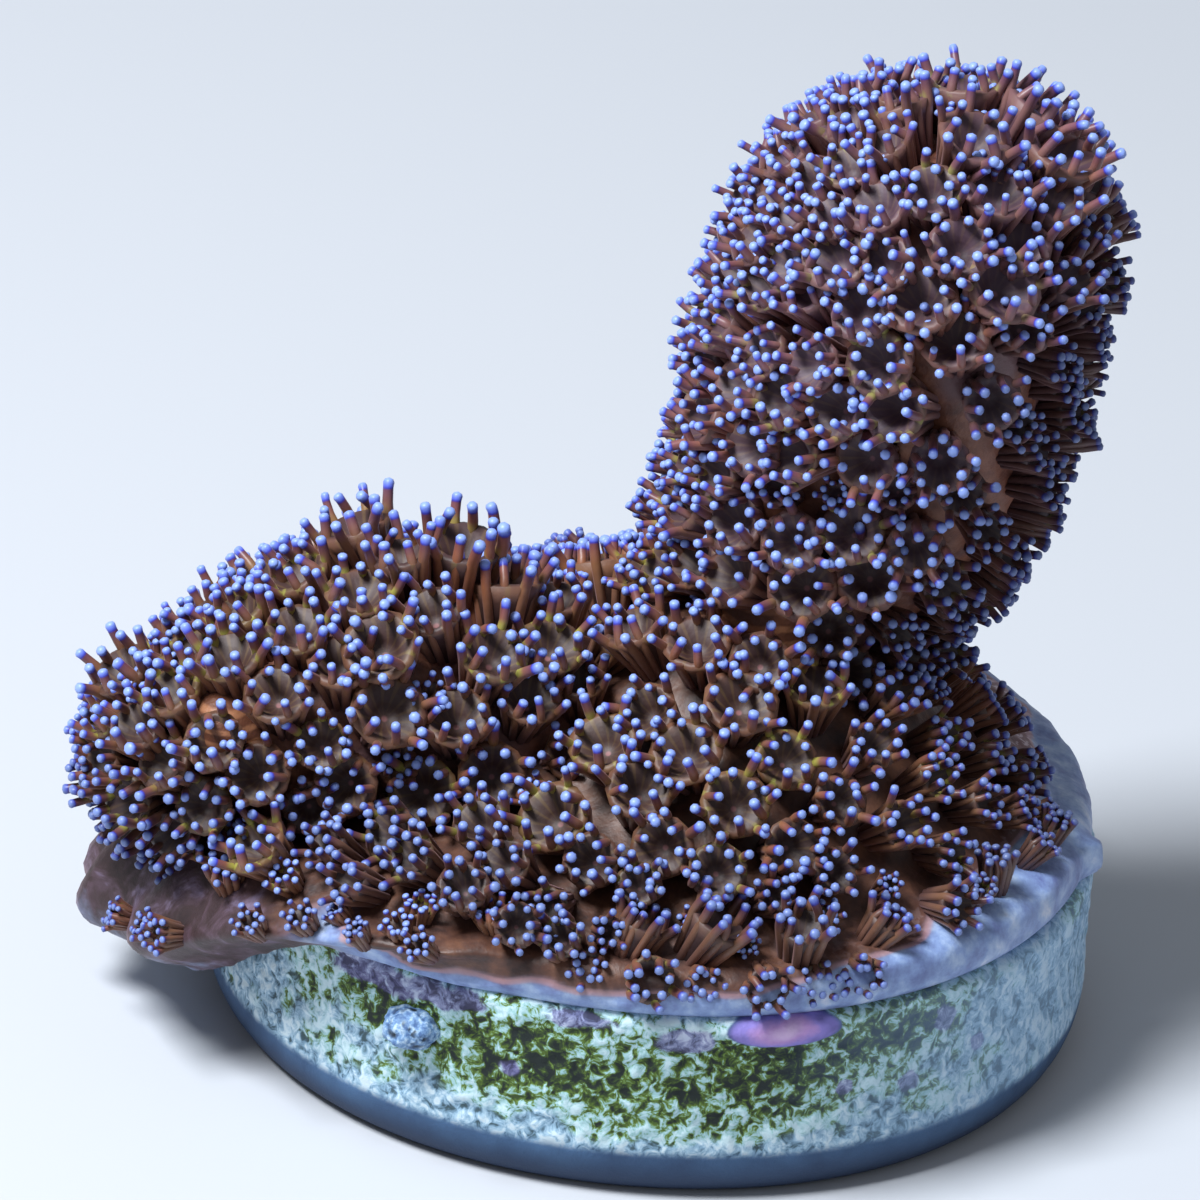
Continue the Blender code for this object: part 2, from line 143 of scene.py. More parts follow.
# %% Node helpers
class Network:
    """A new material's node tree with short calls to add nodes to it."""

    def __init__(self, name):
        self.material = bpy.data.materials.new(name)
        self.material.use_nodes = True
        self.tree = self.material.node_tree
        self.shader = self.tree.nodes["Principled BSDF"]
        self.place = None

    def add(self, kind, settings=None, **inputs):
        """A node with its settings and inputs: i0 is its first input, Base_Color the one named Base Color."""
        node = self.tree.nodes.new(kind)
        for key, value in (settings or {}).items():
            setattr(node, key, value)
        for key, value in inputs.items():
            self.join(value, node.inputs[int(key[1:]) if key[1:].isdigit() else key.replace("_", " ")])
        return node

    def join(self, value, socket):
        """Links an output to a socket, or sets the socket to a plain value."""
        if isinstance(value, bpy.types.NodeSocket):
            self.tree.links.new(value, socket)
        else:
            socket.default_value = value

    def position(self):
        if self.place is None:
            self.place = self.add("ShaderNodeTexCoord").outputs["Object"]
        return self.place

    def value(self, name):
        return self.add("ShaderNodeAttribute", {"attribute_name": name}).outputs["Fac"]

    def noise(self, scale, detail=3.0, roughness=0.5, distortion=0.0):
        return self.add("ShaderNodeTexNoise", Vector=self.position(), Scale=scale, Detail=detail,
                        Roughness=roughness, Distortion=distortion).outputs["Fac"]

    def math(self, operation, *values, clamp=False):
        keys = {f"i{k}": value for k, value in enumerate(values)}
        return self.add("ShaderNodeMath", {"operation": operation, "use_clamp": clamp}, **keys).outputs[0]

    def times(self, *values):
        """Product of the values."""
        total = values[0]
        for value in values[1:]:
            total = self.math("MULTIPLY", total, value)
        return total

    def step(self, value, low, high, to_low=0.0, to_high=1.0):
        """Smooth change from to_low to to_high as value goes from low to high."""
        node = self.add("ShaderNodeMapRange", {"interpolation_type": "SMOOTHSTEP"},
                        i0=value, i1=low, i2=high, i3=to_low, i4=to_high)
        return node.outputs[0]

    def ramp(self, value, stops, interpolation="LINEAR"):
        """A colour for each value: stops is a list of (value, colour)."""
        node = self.add("ShaderNodeValToRGB", i0=value)
        band = node.color_ramp
        band.interpolation = interpolation
        while len(band.elements) < len(stops):
            band.elements.new(0.5)
        for element, (at, colour) in zip(band.elements, stops):
            element.position = at
            element.color = (*colour, 1)
        return node.outputs["Color"]

    def mix(self, share, first, second, blend="MIX"):
        node = self.add("ShaderNodeMix", {"data_type": "RGBA", "blend_type": blend})
        self.join(share, node.inputs[0])
        for socket, colour in ((node.inputs[6], first), (node.inputs[7], second)):
            self.join(colour if isinstance(colour, bpy.types.NodeSocket) else (*colour, 1), socket)
        return node.outputs[2]

    def height(self):
        return self.add("ShaderNodeSeparateXYZ", Vector=self.position()).outputs[2]

    def mauve(self):
        """Share of mauve: it grows with height up the tall branch and changes softly from place to place."""
        return self.times(self.step(self.height(), 0.011, 0.022, 0.04, 0.3),
                          self.step(self.noise(300, 2), 0.3, 0.7, 0.5, 1.0))

    def bump(self, height, distance, strength=1.0):
        node = self.add("ShaderNodeBump", Height=height, Distance=distance, Strength=strength)
        self.join(node.outputs[0], self.shader.inputs["Normal"])

    def finish(self, colour, roughness, **plain):
        """The material, with its colour, its roughness and any input given by name joined to the shader."""
        self.join(colour, self.shader.inputs["Base Color"])
        self.join(roughness, self.shader.inputs["Roughness"])
        for key, value in plain.items():
            self.join(value, self.shader.inputs[key.replace("_", " ")])
        return self.material


def srgb(red, green, blue):
    """Linear colour of an sRGB colour given in 0 to 255, by the sRGB curve."""
    share = np.array([red, green, blue]) / 255
    return tuple(np.where(share <= 0.04045, share / 12.92, ((share + 0.055) / 1.055) ** 2.4))


# %% [markdown]
# ## Where the colony stands
#
# The solids set the sizes, so the same driving dimensions are repeated here. The disc carries the base, the
# base swells into a mound under the tall branch, and on the left it hangs over the rim as a skirt.

# %% Driving dimensions
DISC_RADIUS = 12.5 * MM
DISC_FOOT_RADIUS = 11.5 * MM
DISC_TURN_HEIGHT = 1.6 * MM
DISC_TOP_BEVEL = 0.4 * MM
DISC_WAVINESS = 0.006
DISC_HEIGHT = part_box("plug_disc")[1][2]
BASE_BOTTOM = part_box("plug_disc")[1][2] + 0.3 * MM
PLATE_DOME = 1.1 * MM
FOOT_AT = np.array([2.4, -1.4]) * MM
FOOT_RISE = 5.2 * MM
FOOT_SPREAD = 5.9 * MM
PLAIN_EDGE = MM * np.array([(11.3, 0), (11.9, 0), (12.35, 0.3), (12.3, 0.75), (11.9, 1.05), (11.2, 1.25)])
SKIRT_EDGE = MM * np.array([(11.3, 0), (12.95, 0), (13.0, -4.2), (13.7, -4.5), (15.3, -3.2), (13.2, 0.6)])
SKIRT_BEARING, SKIRT_WIDTH, SKIRT_ONSET = math.radians(192), math.radians(27), 19
BARE_BEARING, BARE_WIDTH, BARE_SHARE = math.radians(38), math.radians(45), 0.32
BEAD_BEARING, BEAD_WIDTH = math.radians(-8), math.radians(52)  # where the pale growing edge is broad
POLYP_HEIGHT = 2.3 * MM
POLYP_PITCH = 2.08 * MM
BASE_PITCH = 1.62 * MM
GOLDEN_ANGLE = math.pi * (3 - math.sqrt(5))
print(f"disc {2000 * DISC_RADIUS:.1f} mm across and {1000 * DISC_HEIGHT:.2f} mm high")

# %% [markdown]
# ## The branches
#
# A thick branch is a round section carried along a Bezier curve. Its radius swells and ripples a little,
# and closes at the tip as a quarter of an ellipse. Polyps stand a golden angle apart round it, with equal
# steps of area between them, which is the even packing that a sunflower's seeds have.

# %% The branch form
STEP = 2e-3  # in t and in a, for slopes
SITE_RINGS, SITE_SIDES = 300, 12  # grid on which the crowns' area is added up
CUP_LEAN = 0.25  # upward part added to the normal for a cup's direction


def bezier(controls, t):
    """Bezier curve of any degree: each control counts by its Bernstein polynomial of t."""
    n = len(controls) - 1
    weights = [math.comb(n, i) * t**i * (1 - t) ** (n - i) for i in range(n + 1)]
    return np.tensordot(np.array(weights), controls, axes=(0, 0))


class Branch:
    """t runs from 0 at the root to 1 at the tip, and a is the angle round the centreline from the front."""

    def __init__(self, path, radii, tip_round, hills, turn, root_end=0.1):
        self.path, self.radii = np.array(path) * MM, np.array(radii) * MM
        self.tip_round, self.hills, self.turn, self.root_end = tip_round, hills, math.radians(turn), root_end

    def centre(self, t):
        return bezier(self.path, t)

    def radius(self, t):
        """The control radii's Bezier, times the square root of 1 - x^2 where x runs through the tip."""
        into_tip = np.clip((t - 1 + self.tip_round) / self.tip_round, 0, 1)
        return bezier(self.radii, t) * np.sqrt(1 - into_tip**2)

    def swell(self, t, a):
        """Share of the radius added by long ripples and by hills, which are bell curves in t and in angle."""
        total = 0.03 * np.sin(3 * a + 9 * t) + 0.025 * np.sin(2 * a - 14 * t)
        for at_t, at_degrees, share, wide_t, wide_degrees in self.hills:
            away = (np.degrees(a) - at_degrees + 180) % 360 - 180
            total = total + share * np.exp(-(((t - at_t) / wide_t) ** 2) - (away / wide_degrees) ** 2)
        return total

    def point(self, t, a, grow=0.0):
        """Centreline point plus the swollen radius in direction a, which turns round the path."""
        along = unit(self.centre(np.minimum(t + STEP, 1)) - self.centre(np.maximum(t - STEP, 0)))
        first = unit(FRONT - along * (along @ FRONT)[:, None])
        out = first * np.cos(a)[:, None] + np.cross(along, first) * np.sin(a)[:, None]
        return self.centre(t) + out * (self.radius(t) * (1 + self.swell(t, a)) + grow)[:, None]

    def normal(self, t, a):
        """Cross product of the surface's slopes in a and in t."""
        t = np.clip(t, 2 * STEP, 1 - 2 * STEP)
        round_it = self.point(t, a + STEP) - self.point(t, a - STEP)
        along_it = self.point(t + STEP, a) - self.point(t - STEP, a)
        return unit(np.cross(round_it, along_it))

    def sites(self):
        """(t, a) of each polyp: equal steps of crown area from root_end to the tip, a golden angle apart."""
        t = 1 - (1 - self.root_end) * (1 - np.sin(np.linspace(0, math.pi / 2 - 0.003, SITE_RINGS)))
        round_it = np.linspace(0, 2 * math.pi, SITE_SIDES, endpoint=False)
        tt, aa = np.repeat(t, SITE_SIDES), np.tile(round_it, SITE_RINGS)
        lean = unit(self.normal(tt, aa) + CUP_LEAN * UP)
        crowns = (self.point(tt, aa) + lean * POLYP_HEIGHT).reshape(-1, SITE_SIDES, 3)
        wide = np.linalg.norm(crowns - crowns.mean(axis=1, keepdims=True), axis=2).mean(axis=1)
        travel = np.linalg.norm(np.diff(crowns, axis=0), axis=2).mean(axis=1)
        area = np.concatenate([[0], np.cumsum(math.pi * (wide[1:] + wide[:-1]) * travel)])
        count = int(area[-1] / (POLYP_PITCH**2 * math.sqrt(3) / 2))
        index = np.arange(count)
        return np.interp((index + 0.5) / count * area[-1], area, t), index * GOLDEN_ANGLE + self.turn

    def clearance(self, points):
        """Distance of each point from the branch's tissue, taken from the nearest point of its centreline."""
        t = np.linspace(0, 1, 80)
        away = np.linalg.norm(points[:, None] - self.centre(t)[None], axis=2) - self.radius(t)[None]
        return away.min(axis=1)


LEFT = Branch(
    path=[(-1.2, -0.9, 8.6), (-5.0, -2.8, 9.6), (-9.5, -3.4, 10.0), (-15.0, -3.0, 7.4)],
    radii=[2.4, 2.9, 3.1, 2.3], tip_round=0.17, turn=20,
    hills=[(0.52, 115, 0.44, 0.14, 42), (0.85, -60, 0.08, 0.12, 50), (0.95, 110, -0.25, 0.16, 70)],
)
RIGHT = Branch(
    path=[(3.3, 1.2, 10.4), (3.4, 1.0, 14.0), (6.4, -0.2, 19.5), (6.3, -0.4, 27.4)],
    radii=[3.6, 3.2, 4.8, 4.1], tip_round=0.2, turn=0,
    hills=[(0.6, 95, 0.08, 0.15, 50)],
)
for side, branch in (("left", LEFT), ("right", RIGHT)):
    print(side, "branch takes", len(branch.sites()[0]), "polyps")

# %% [markdown]
# ## The encrusting base
#
# The base is a plate with a section that changes with the bearing, topped by a low dome and a bell-shaped
# mound. Share_out is 0 at the middle and 1 where the section's edge begins.

# %% The base form
def base_section(bearing):
    """Radii and heights of the section at each bearing: plain edge and skirt, mixed by a bell curve."""
    share = bell(bearing, SKIRT_BEARING, SKIRT_WIDTH)[:, None]
    sooner = np.minimum(share**0.25, share * SKIRT_ONSET)
    change = SKIRT_EDGE - PLAIN_EDGE
    return PLAIN_EDGE[:, 0] + change[:, 0] * sooner, BASE_BOTTOM + PLAIN_EDGE[:, 1] + change[:, 1] * share


def base_top(x, y, share_out, edge_height):
    """Edge height, plus dome times (1 - s^2)^0.75, plus a bell curve at the tall branch's foot."""
    dome = PLATE_DOME * (1 - share_out**2) ** 0.75
    foot = FOOT_RISE * np.exp(-((x - FOOT_AT[0]) ** 2 + (y - FOOT_AT[1]) ** 2) / FOOT_SPREAD**2)
    return edge_height + dome + foot * (1 - share_out**4)


def base_point(share_out, bearing):
    """Point on the base's top, at a share of the way out to the edge and a bearing."""
    radius, height = base_section(bearing)
    x, y = share_out * radius[:, -1] * np.cos(bearing), share_out * radius[:, -1] * np.sin(bearing)
    return np.stack([x, y, base_top(x, y, share_out, height[:, -1])], axis=1)


def base_normal(share_out, bearing):
    """Cross product of the mound's slopes outward and round."""
    share_out = np.clip(share_out, 0.02, 0.99)
    outward = base_point(share_out + 0.01, bearing) - base_point(share_out - 0.01, bearing)
    round_it = base_point(share_out, bearing + 0.01) - base_point(share_out, bearing - 0.01)
    return unit(np.cross(outward, round_it))


def base_height_under(points):
    """Height of the base's top under each point, or far below where there is no base."""
    bearing = np.arctan2(points[:, 1], points[:, 0])
    radius, height = base_section(bearing)
    share_out = np.hypot(points[:, 0], points[:, 1]) / radius[:, -1]
    top = base_top(points[:, 0], points[:, 1], np.clip(share_out, 0, 1), height[:, -1])
    return np.where(share_out < 1.1, top, -1.0)


def base_sites(pitch):
    """(share_out, bearing) of each polyp: a golden-angle spiral with equal room for each."""
    count = int(math.pi * PLAIN_EDGE[-1, 0] ** 2 / (pitch**2 * math.sqrt(3) / 2))
    index = np.arange(count)
    return np.sqrt((index + 0.5) / (count + 0.5)), index * GOLDEN_ANGLE


print("the base takes", len(base_sites(BASE_PITCH)[0]), "grown polyps at most")

# %% [markdown]
# ## Where polyps fit
#
# In the solids a polyp that would meet its neighbour is left out. Living polyps only shrink, so here each
# site tries smaller and smaller heights until its crown is clear of the tissue and of the crowns already
# placed. The tall branch goes first, then the low one, and the base fills what is left. Polyps that are
# turned away from the light, or stand low under a branch, are shorter, more closed and dimmer. Each carries
# a dimness from 0 to 1 for it, which closes its crown and which the materials paint as shade: a dark colour
# mixed in where the polyp lies in shade. The base's edge, rim and lip polyps get a dimness too.

# %% Polyp sizes and the room they need
SHARES = (1.0, 0.85, 0.7, 0.55, 0.42)  # of the full height, tried in turn
SMALLEST_POLYP = 0.6 * MM
YOUNG_PITCH = 1.65 * MM
YOUNG_POLYP = 1.1 * MM  # height of the young polyps between the others and on the bare margin
CROWN_LEVEL = 0.8  # share of a polyp's height at which its crown is tested
CROWN_ROOM = 0.36  # least distance of two crowns, as a share of the sum of their heights
TISSUE_ROOM = 0.34  # least distance of a crown from other tissue, as a share of its height
LEAN = np.array([-0.16, 0, 0.42])  # added to a polyp's direction: they reach up, towards the light
SHADED_LEAN_LOSS = 0.6
# Dimness of polyps low on the low branch, which the materials paint as shade
LOW_DIMNESS = 0.8


def uneven_heights(count):
    """Factors that go up and down by 8 percent from one polyp to the next, as a sine of its number."""
    return 1 + 0.08 * np.sin(2.4 * np.arange(count))


def settle(feet, ways, full, tissue_distance, crowns, least=None):
    """Index and height of each polyp that fits: the tallest share of its full height with a clear crown."""
    least = np.full(len(feet), SMALLEST_POLYP) if least is None else np.maximum(least, SMALLEST_POLYP)
    kept, heights = [], []
    for k in range(len(feet)):
        for height in full[k] * np.array(SHARES):
            crown = feet[k] + ways[k] * height * CROWN_LEVEL
            if height < least[k] or tissue_distance(crown[None])[0] < TISSUE_ROOM * height:
                continue
            others = np.array(crowns).reshape(-1, 4)
            apart = np.linalg.norm(others[:, :3] - crown, axis=1)
            if np.all(apart > CROWN_ROOM * (height + others[:, 3])):
                crowns.append((*crown, height))
                kept.append(k)
                heights.append(height)
                break
    return np.array(kept), np.array(heights)


# %% The branches' polyps
SHADED_SIDE = unit(np.array([0.75, 0.0, -0.65]))  # away from the light
SHADED_LOSS, SIDE_LOSS = 0.25, 0.18  # how much shorter polyps are there, and where they point sideways
LOW_BRANCH_SHADE, SHADE_FADE = 9.2 * MM, 2.6 * MM  # the low branch's polyps dim from this height down
ROOT_LOSS, ROOT_REACH = 0.35, 0.4
FAN_GAIN, FAN_AT, FAN_LONG = 0.28, 0.4, 0.07
FAN_BEARING, FAN_WIDTH = math.radians(120), math.radians(50)
# Bare spots between crowns: x, y, z and radius in mm
HOLLOWS = ((-12.3, -5.7, 10.3, 1.0), (1.9, -3.6, 12.6, 1.5))


def tall_branch_growth(t, a):
    """Even polyps all over."""
    return np.ones_like(t)


def low_branch_growth(t, a):
    """Short polyps at the root, and two tall fans on top."""
    root = 1 - ROOT_LOSS * (1 - smooth_step(t / ROOT_REACH))
    return root + FAN_GAIN * np.exp(-(((t - FAN_AT) / FAN_LONG) ** 2)) * bell(a, FAN_BEARING, FAN_WIDTH)


def in_hollow(crown):
    """True for crowns inside one of the hollows."""
    inside = [np.linalg.norm(crown - MM * np.array(at), axis=1) < wide * MM for *at, wide in HOLLOWS]
    return np.any(inside, axis=0)


def branch_polyps(branch, other, crowns, grown, shade_below):
    """Feet, directions, heights and dimness of a branch's polyps: dim low down or turned from the light."""
    t, a = branch.sites()
    feet, ways = branch.point(t, a), unit(branch.normal(t, a) + CUP_LEAN * UP)
    shaded = smooth_step((ways @ SHADED_SIDE - 0.02) / 0.55)
    low = smooth_step((shade_below - feet[:, 2]) / SHADE_FADE)
    ways = unit(ways + LEAN * (1 - SHADED_LEAN_LOSS * shaded)[:, None])
    full = POLYP_HEIGHT * uneven_heights(len(t)) * (1 - SHADED_LOSS * shaded)
    full = full * (1 - SIDE_LOSS * np.abs(ways[:, 0])) * grown(t, a)
    full = np.where(in_hollow(feet + ways * full[:, None] * CROWN_LEVEL), 0, full)

    def tissue(points):
        return np.minimum(other.clearance(points), points[:, 2] - base_height_under(points))

    kept, heights = settle(feet, ways, full, tissue, crowns)
    # The dimness closes the crowns and is painted as shade by the materials
    return feet[kept], ways[kept], heights, np.maximum(shaded, LOW_DIMNESS * low)[kept]


# %% [markdown]
# ## Polyps round the edge
#
# The base's edge bears polyps too. They stand in rows round its outer face, a little unevenly: at the front
# they hide the edge and hang over it, on the right one row stays inside the pale lip, and on the left small
# contracted ones sit on the skirt. The rim on the far right is bare.

# %% Rows of polyps on the edge
# Span of the section, place in the span, depth of the feet under the face in mm, upward part added to the
# direction, height in mm and step in degrees
EDGE_ROWS = ((2, 0.8, 1.1, 0.3, 1.5, 8.2), (4, 0.9, 0.45, -0.25, 1.9, 8.2))
LIP_ROWS = ((4, 0.9, 0.05, 0.2, 1.2, 7.5),)
SKIRT_ROWS = ((4, 0.95, 0.3, 0.1, 1.8, 8.6), (4, 0.55, 0.3, 0, 1.4, 7.6), (4, 0.12, 0.2, 0, 1.0, 7.6))
EDGE_LEAST = 0.8  # least share of its height for a polyp on the edge, as its foot lies deep
SKIRT_FROM = 0.002  # share of the skirt's section from which the skirt's rows take over
# Dimness of the edge rows' polyps, painted as shade by the materials
EDGE_DIMNESS = 0.6
UNEVEN_STEP, UNEVEN_PLACE, UNEVEN_WAY = 0.22, 0.13, 0.15  # spreads: in steps, in spans and of the direction
BEAD_FROM, BARE_FROM = 0.55, 0.3  # shares of the bead's and of the bare rim's bell where rows change


def skirt_share(bearing):
    """One in the middle of the skirt, fading as a bell curve."""
    return bell(bearing, SKIRT_BEARING, SKIRT_WIDTH)


def is_bead(bearing):
    """True where the pale growing edge is broad."""
    return bell(bearing, BEAD_BEARING, BEAD_WIDTH) >= BEAD_FROM


def is_covered(bearing):
    """True outside the bare rim."""
    return bell(bearing, BARE_BEARING, BARE_WIDTH) < BARE_FROM


def edge_polyps(rows, wanted):
    """Feet, directions and heights of rows of polyps round the edge, square to its face and leaned up."""
    parts = []
    uneven = np.random.default_rng(5)
    for k, (span, place, depth, lean, height, degrees) in enumerate(rows):
        step = math.radians(degrees)
        bearing = np.arange(0, 2 * math.pi - step / 2, step) + (k % 2) * step / 2
        bearing = bearing + step * uneven.normal(0, UNEVEN_STEP, len(bearing))
        bearing = bearing[wanted(bearing)]
        place = np.clip(place + uneven.normal(0, UNEVEN_PLACE, len(bearing)), 0.05, 0.97)[:, None]
        radius, level = base_section(bearing)
        low, high = (np.stack([radius[:, n], level[:, n]], -1) for n in (span, span + 1))
        along = unit(high - low)
        square = np.stack([along[:, 1], -along[:, 0]], -1)
        at = low + (high - low) * place - square * depth * MM
        c, s = np.cos(bearing), np.sin(bearing)
        feet, ways = (np.stack([p[:, 0] * c, p[:, 0] * s, p[:, 1]], axis=1) for p in (at, square))
        ways = unit(ways + lean * UP + uneven.normal(0, UNEVEN_WAY, feet.shape))
        parts.append((feet, ways, height * MM * uneven.uniform(0.8, 1.15, len(bearing))))
    return [np.concatenate(values) for values in zip(*parts)]


# %% The base's polyps
EDGE_POLYP_SHARE, BACK_POLYP_SHARE = 0.78, 0.5  # heights at the rim and the back, as shares of the full one
BACK_BEARING, BACK_WIDTH = math.radians(110), math.radians(50)
RETRACTED_BEARING, RETRACTED_WIDTH, RETRACTED_SHARE = math.radians(-8), math.radians(42), 0.3
UNDER_BRANCH_BEARING, UNDER_BRANCH_WIDTH = math.radians(212), math.radians(30)
# Dimness under the low branch and at the rim, painted as shade by the materials
UNDER_BRANCH_DIMNESS, RIM_DIMNESS = 0.75, 0.6
SPREAD_AT_RIM = 1.5  # outward part of the direction at the rim


def top_growth(share_out, bearing, between):
    """Full heights and dimness on the base's top: less at the rim, back and right, none on the lip."""
    beside_lip = bell(bearing, RETRACTED_BEARING, RETRACTED_WIDTH)
    young = (1 - EDGE_POLYP_SHARE) * smooth_step((share_out - 0.7) / 0.3)
    back = bell(bearing, BACK_BEARING, BACK_WIDTH) * smooth_step((share_out - 0.3) / 0.4)
    right = RETRACTED_SHARE * beside_lip * smooth_step((share_out - 0.4) / 0.4)
    full = POLYP_HEIGHT * (1 - young) * (1 - (1 - BACK_POLYP_SHARE) * back) * (1 - right)
    full = full * uneven_heights(len(share_out))
    small = np.where((share_out > 0.72) & (beside_lip > 0.4), np.minimum(full, YOUNG_POLYP), 0)
    full = np.where(between, small, full)
    bare = BARE_SHARE * bell(bearing, BARE_BEARING, BARE_WIDTH)
    full = np.where(share_out > 1 - bare, np.where(share_out > 1 - 0.4 * bare, 0, 0.8 * YOUNG_POLYP), full)
    overhung = bell(bearing, UNDER_BRANCH_BEARING, UNDER_BRANCH_WIDTH) * smooth_step((share_out - 0.45) / 0.3)
    rim = RIM_DIMNESS * smooth_step((share_out - 0.65) / 0.25)
    # Dimness, painted as shade by the materials: beside the lip, among young polyps, under the low branch, at
    # the rim
    dim = np.maximum(2.4 * right + 0.5 * between, np.maximum(UNDER_BRANCH_DIMNESS * overhung, rim))
    return full, dim


def top_polyps():
    """Feet, directions, full heights and dimness of the polyps on the base's spiral and of young ones."""
    grown, young = base_sites(BASE_PITCH), base_sites(YOUNG_PITCH)
    share_out, bearing = (np.concatenate(pair) for pair in zip(grown, young))
    between = np.arange(len(share_out)) >= len(grown[0])
    outward = np.stack([np.cos(bearing), np.sin(bearing), np.zeros_like(bearing)], axis=1)
    ways = unit(base_normal(share_out, bearing) + outward * (SPREAD_AT_RIM * share_out**3)[:, None]
                + LEAN * (1 - share_out**2)[:, None])
    return base_point(share_out, bearing), ways, *top_growth(share_out, bearing, between)


def base_polyps(crowns):
    """Feet, directions, heights and dimness of the base's polyps: edge, lip, top and skirt."""
    on_edge = edge_polyps(EDGE_ROWS, lambda b: ~is_bead(b) & is_covered(b) & (skirt_share(b) < SKIRT_FROM))
    on_lip = edge_polyps(LIP_ROWS, lambda b: is_bead(b) & is_covered(b))
    on_skirt = edge_polyps(SKIRT_ROWS, lambda b: skirt_share(b) >= SKIRT_FROM)
    *on_top, dim_top = top_polyps()
    # Dimness, painted as shade by the materials: part for the edge rows, full for the lip, more for small
    # skirt polyps
    dim = np.concatenate([np.full(len(on_edge[0]), EDGE_DIMNESS), np.ones(len(on_lip[0])), dim_top,
                          np.clip(1.6 - on_skirt[2] / MM, 0, 1)])
    feet, ways, full = (np.concatenate(parts) for parts in zip(on_edge, on_lip, on_top, on_skirt))
    least = np.where(np.arange(len(feet)) < len(on_edge[0]), EDGE_LEAST * full, 0)

    def tissue(points):
        return np.minimum(LEFT.clearance(points), RIGHT.clearance(points))

    kept, heights = settle(feet, ways, full, tissue, crowns, least)
    return feet[kept], ways[kept], heights, np.clip(dim[kept], 0, 1)


# %% Place the whole colony
crowns = []
colony = {
    "right_branch": branch_polyps(RIGHT, LEFT, crowns, tall_branch_growth, 0.0),
    "left_branch": branch_polyps(LEFT, RIGHT, crowns, low_branch_growth, LOW_BRANCH_SHADE),
    "encrusting_base": base_polyps(crowns),
}
for node, (feet, _, heights, _) in colony.items():
    print(node, "has", len(feet), "polyps, the smallest", round(1000 * heights.min(), 2), "mm high")

# %% [markdown]
# ## One polyp
#
# Up close each polyp is a bundle of twelve fleshy ribs round a short core. The ribs run up the column side
# by side, part at the crown, and end as tentacles with a pale blunt knob. Every other one leans further
# out. So a tentacle here is one closed tube from the polyp's foot to its knob: a round section carried
# along a path, worked out for all tentacles at once in one array with an axis for the polyp, the tentacle,
# the ring and its points.

# %% Tentacles
TENTACLES, TENTACLE_SIDES = 12, 8
# Rings on the column: radius and height as shares of the polyp's height, and the rib's own radius
RIB = np.array([(0.20, -0.05, 0.052), (0.42, 0.69, 0.062)])
# Rings beyond the crown: share of the free length, and the tentacle's own radius
FREE = np.array([(0.30, 0.061), (0.74, 0.059), (0.90, 0.064), (0.985, 0.049)])
FREE_LENGTH = np.array([0.31, 0.29])  # of the outer and the inner tentacles, as shares of the height
FLARE = np.radians([25, -20])
INNER_RING = np.array([1.0, 0.86])  # where they part from the crown, as shares of its radius
TURN_SPREAD, FLARE_SPREAD, SWAY_SPREAD, BEND_SPREAD = 0.06, 0.15, 0.12, 0.12
THICKNESS_SPREAD = 0.08


def frames(ways, turn):
    """Three axes for each polyp: two across its direction, turned by the given angle, and the direction."""
    across = unit(np.cross(np.where(np.abs(ways[:, 1:2]) < 0.9, FRONT, UP), ways))
    other = np.cross(ways, across)
    c, s = np.cos(turn)[:, None], np.sin(turn)[:, None]
    return np.stack([across * c + other * s, other * c - across * s, ways], axis=1)


def to_world(local, feet, axes, heights):
    """Local points of each polyp, times its height, along its three axes, from its foot."""
    return feet[:, None] + np.einsum("pni,pij->pnj", local * heights[:, None, None], axes)


def tentacle_paths(count, openness):
    """Ring centres: up the column at its radius, then out from the crown along a parabola.

    At share u of the free length L the distance from the axis is r + L (u sin f + b u^2) and the height is
    h + L u cos f, where f is the flare and b the bend. Each tentacle sways sideways by L s u^2.
    """
    shape = (count, TENTACLES, 1)
    which = np.arange(TENTACLES) % 2
    turn = 2 * math.pi * np.arange(TENTACLES) / TENTACLES + random.normal(0, TURN_SPREAD, (count, TENTACLES))
    length = (FREE_LENGTH[which] * random.uniform(0.84, 1.12, (count, TENTACLES)))[..., None]
    flare = FLARE[which] * openness[:, None] + random.normal(0, FLARE_SPREAD, (count, TENTACLES))
    bend, sway = random.normal(0, BEND_SPREAD, shape), random.normal(0, SWAY_SPREAD, shape)
    widening = 1 + (openness[:, None, None] - 1) * 0.5 * np.array([0, 1])
    ring = 1 + (INNER_RING[which][:, None] - 1) * np.array([0, 1])
    column_radius, u = RIB[:, 0] * widening * ring, FREE[:, 0]
    free_radius = column_radius[..., -1:] + length * (u * np.sin(flare)[..., None] + bend * u**2)
    radius = np.concatenate([column_radius, free_radius], axis=-1)
    free_height = RIB[-1, 1] + length * u * np.cos(flare)[..., None]
    height = np.concatenate([np.broadcast_to(RIB[:, 1], (*shape[:2], len(RIB))), free_height], axis=-1)
    aside = np.concatenate([np.zeros((*shape[:2], len(RIB))), length * sway * u**2], axis=-1)
    c, s = np.cos(turn)[..., None], np.sin(turn)[..., None]
    return np.stack([radius * c - aside * s, radius * s + aside * c, height], axis=-1), turn


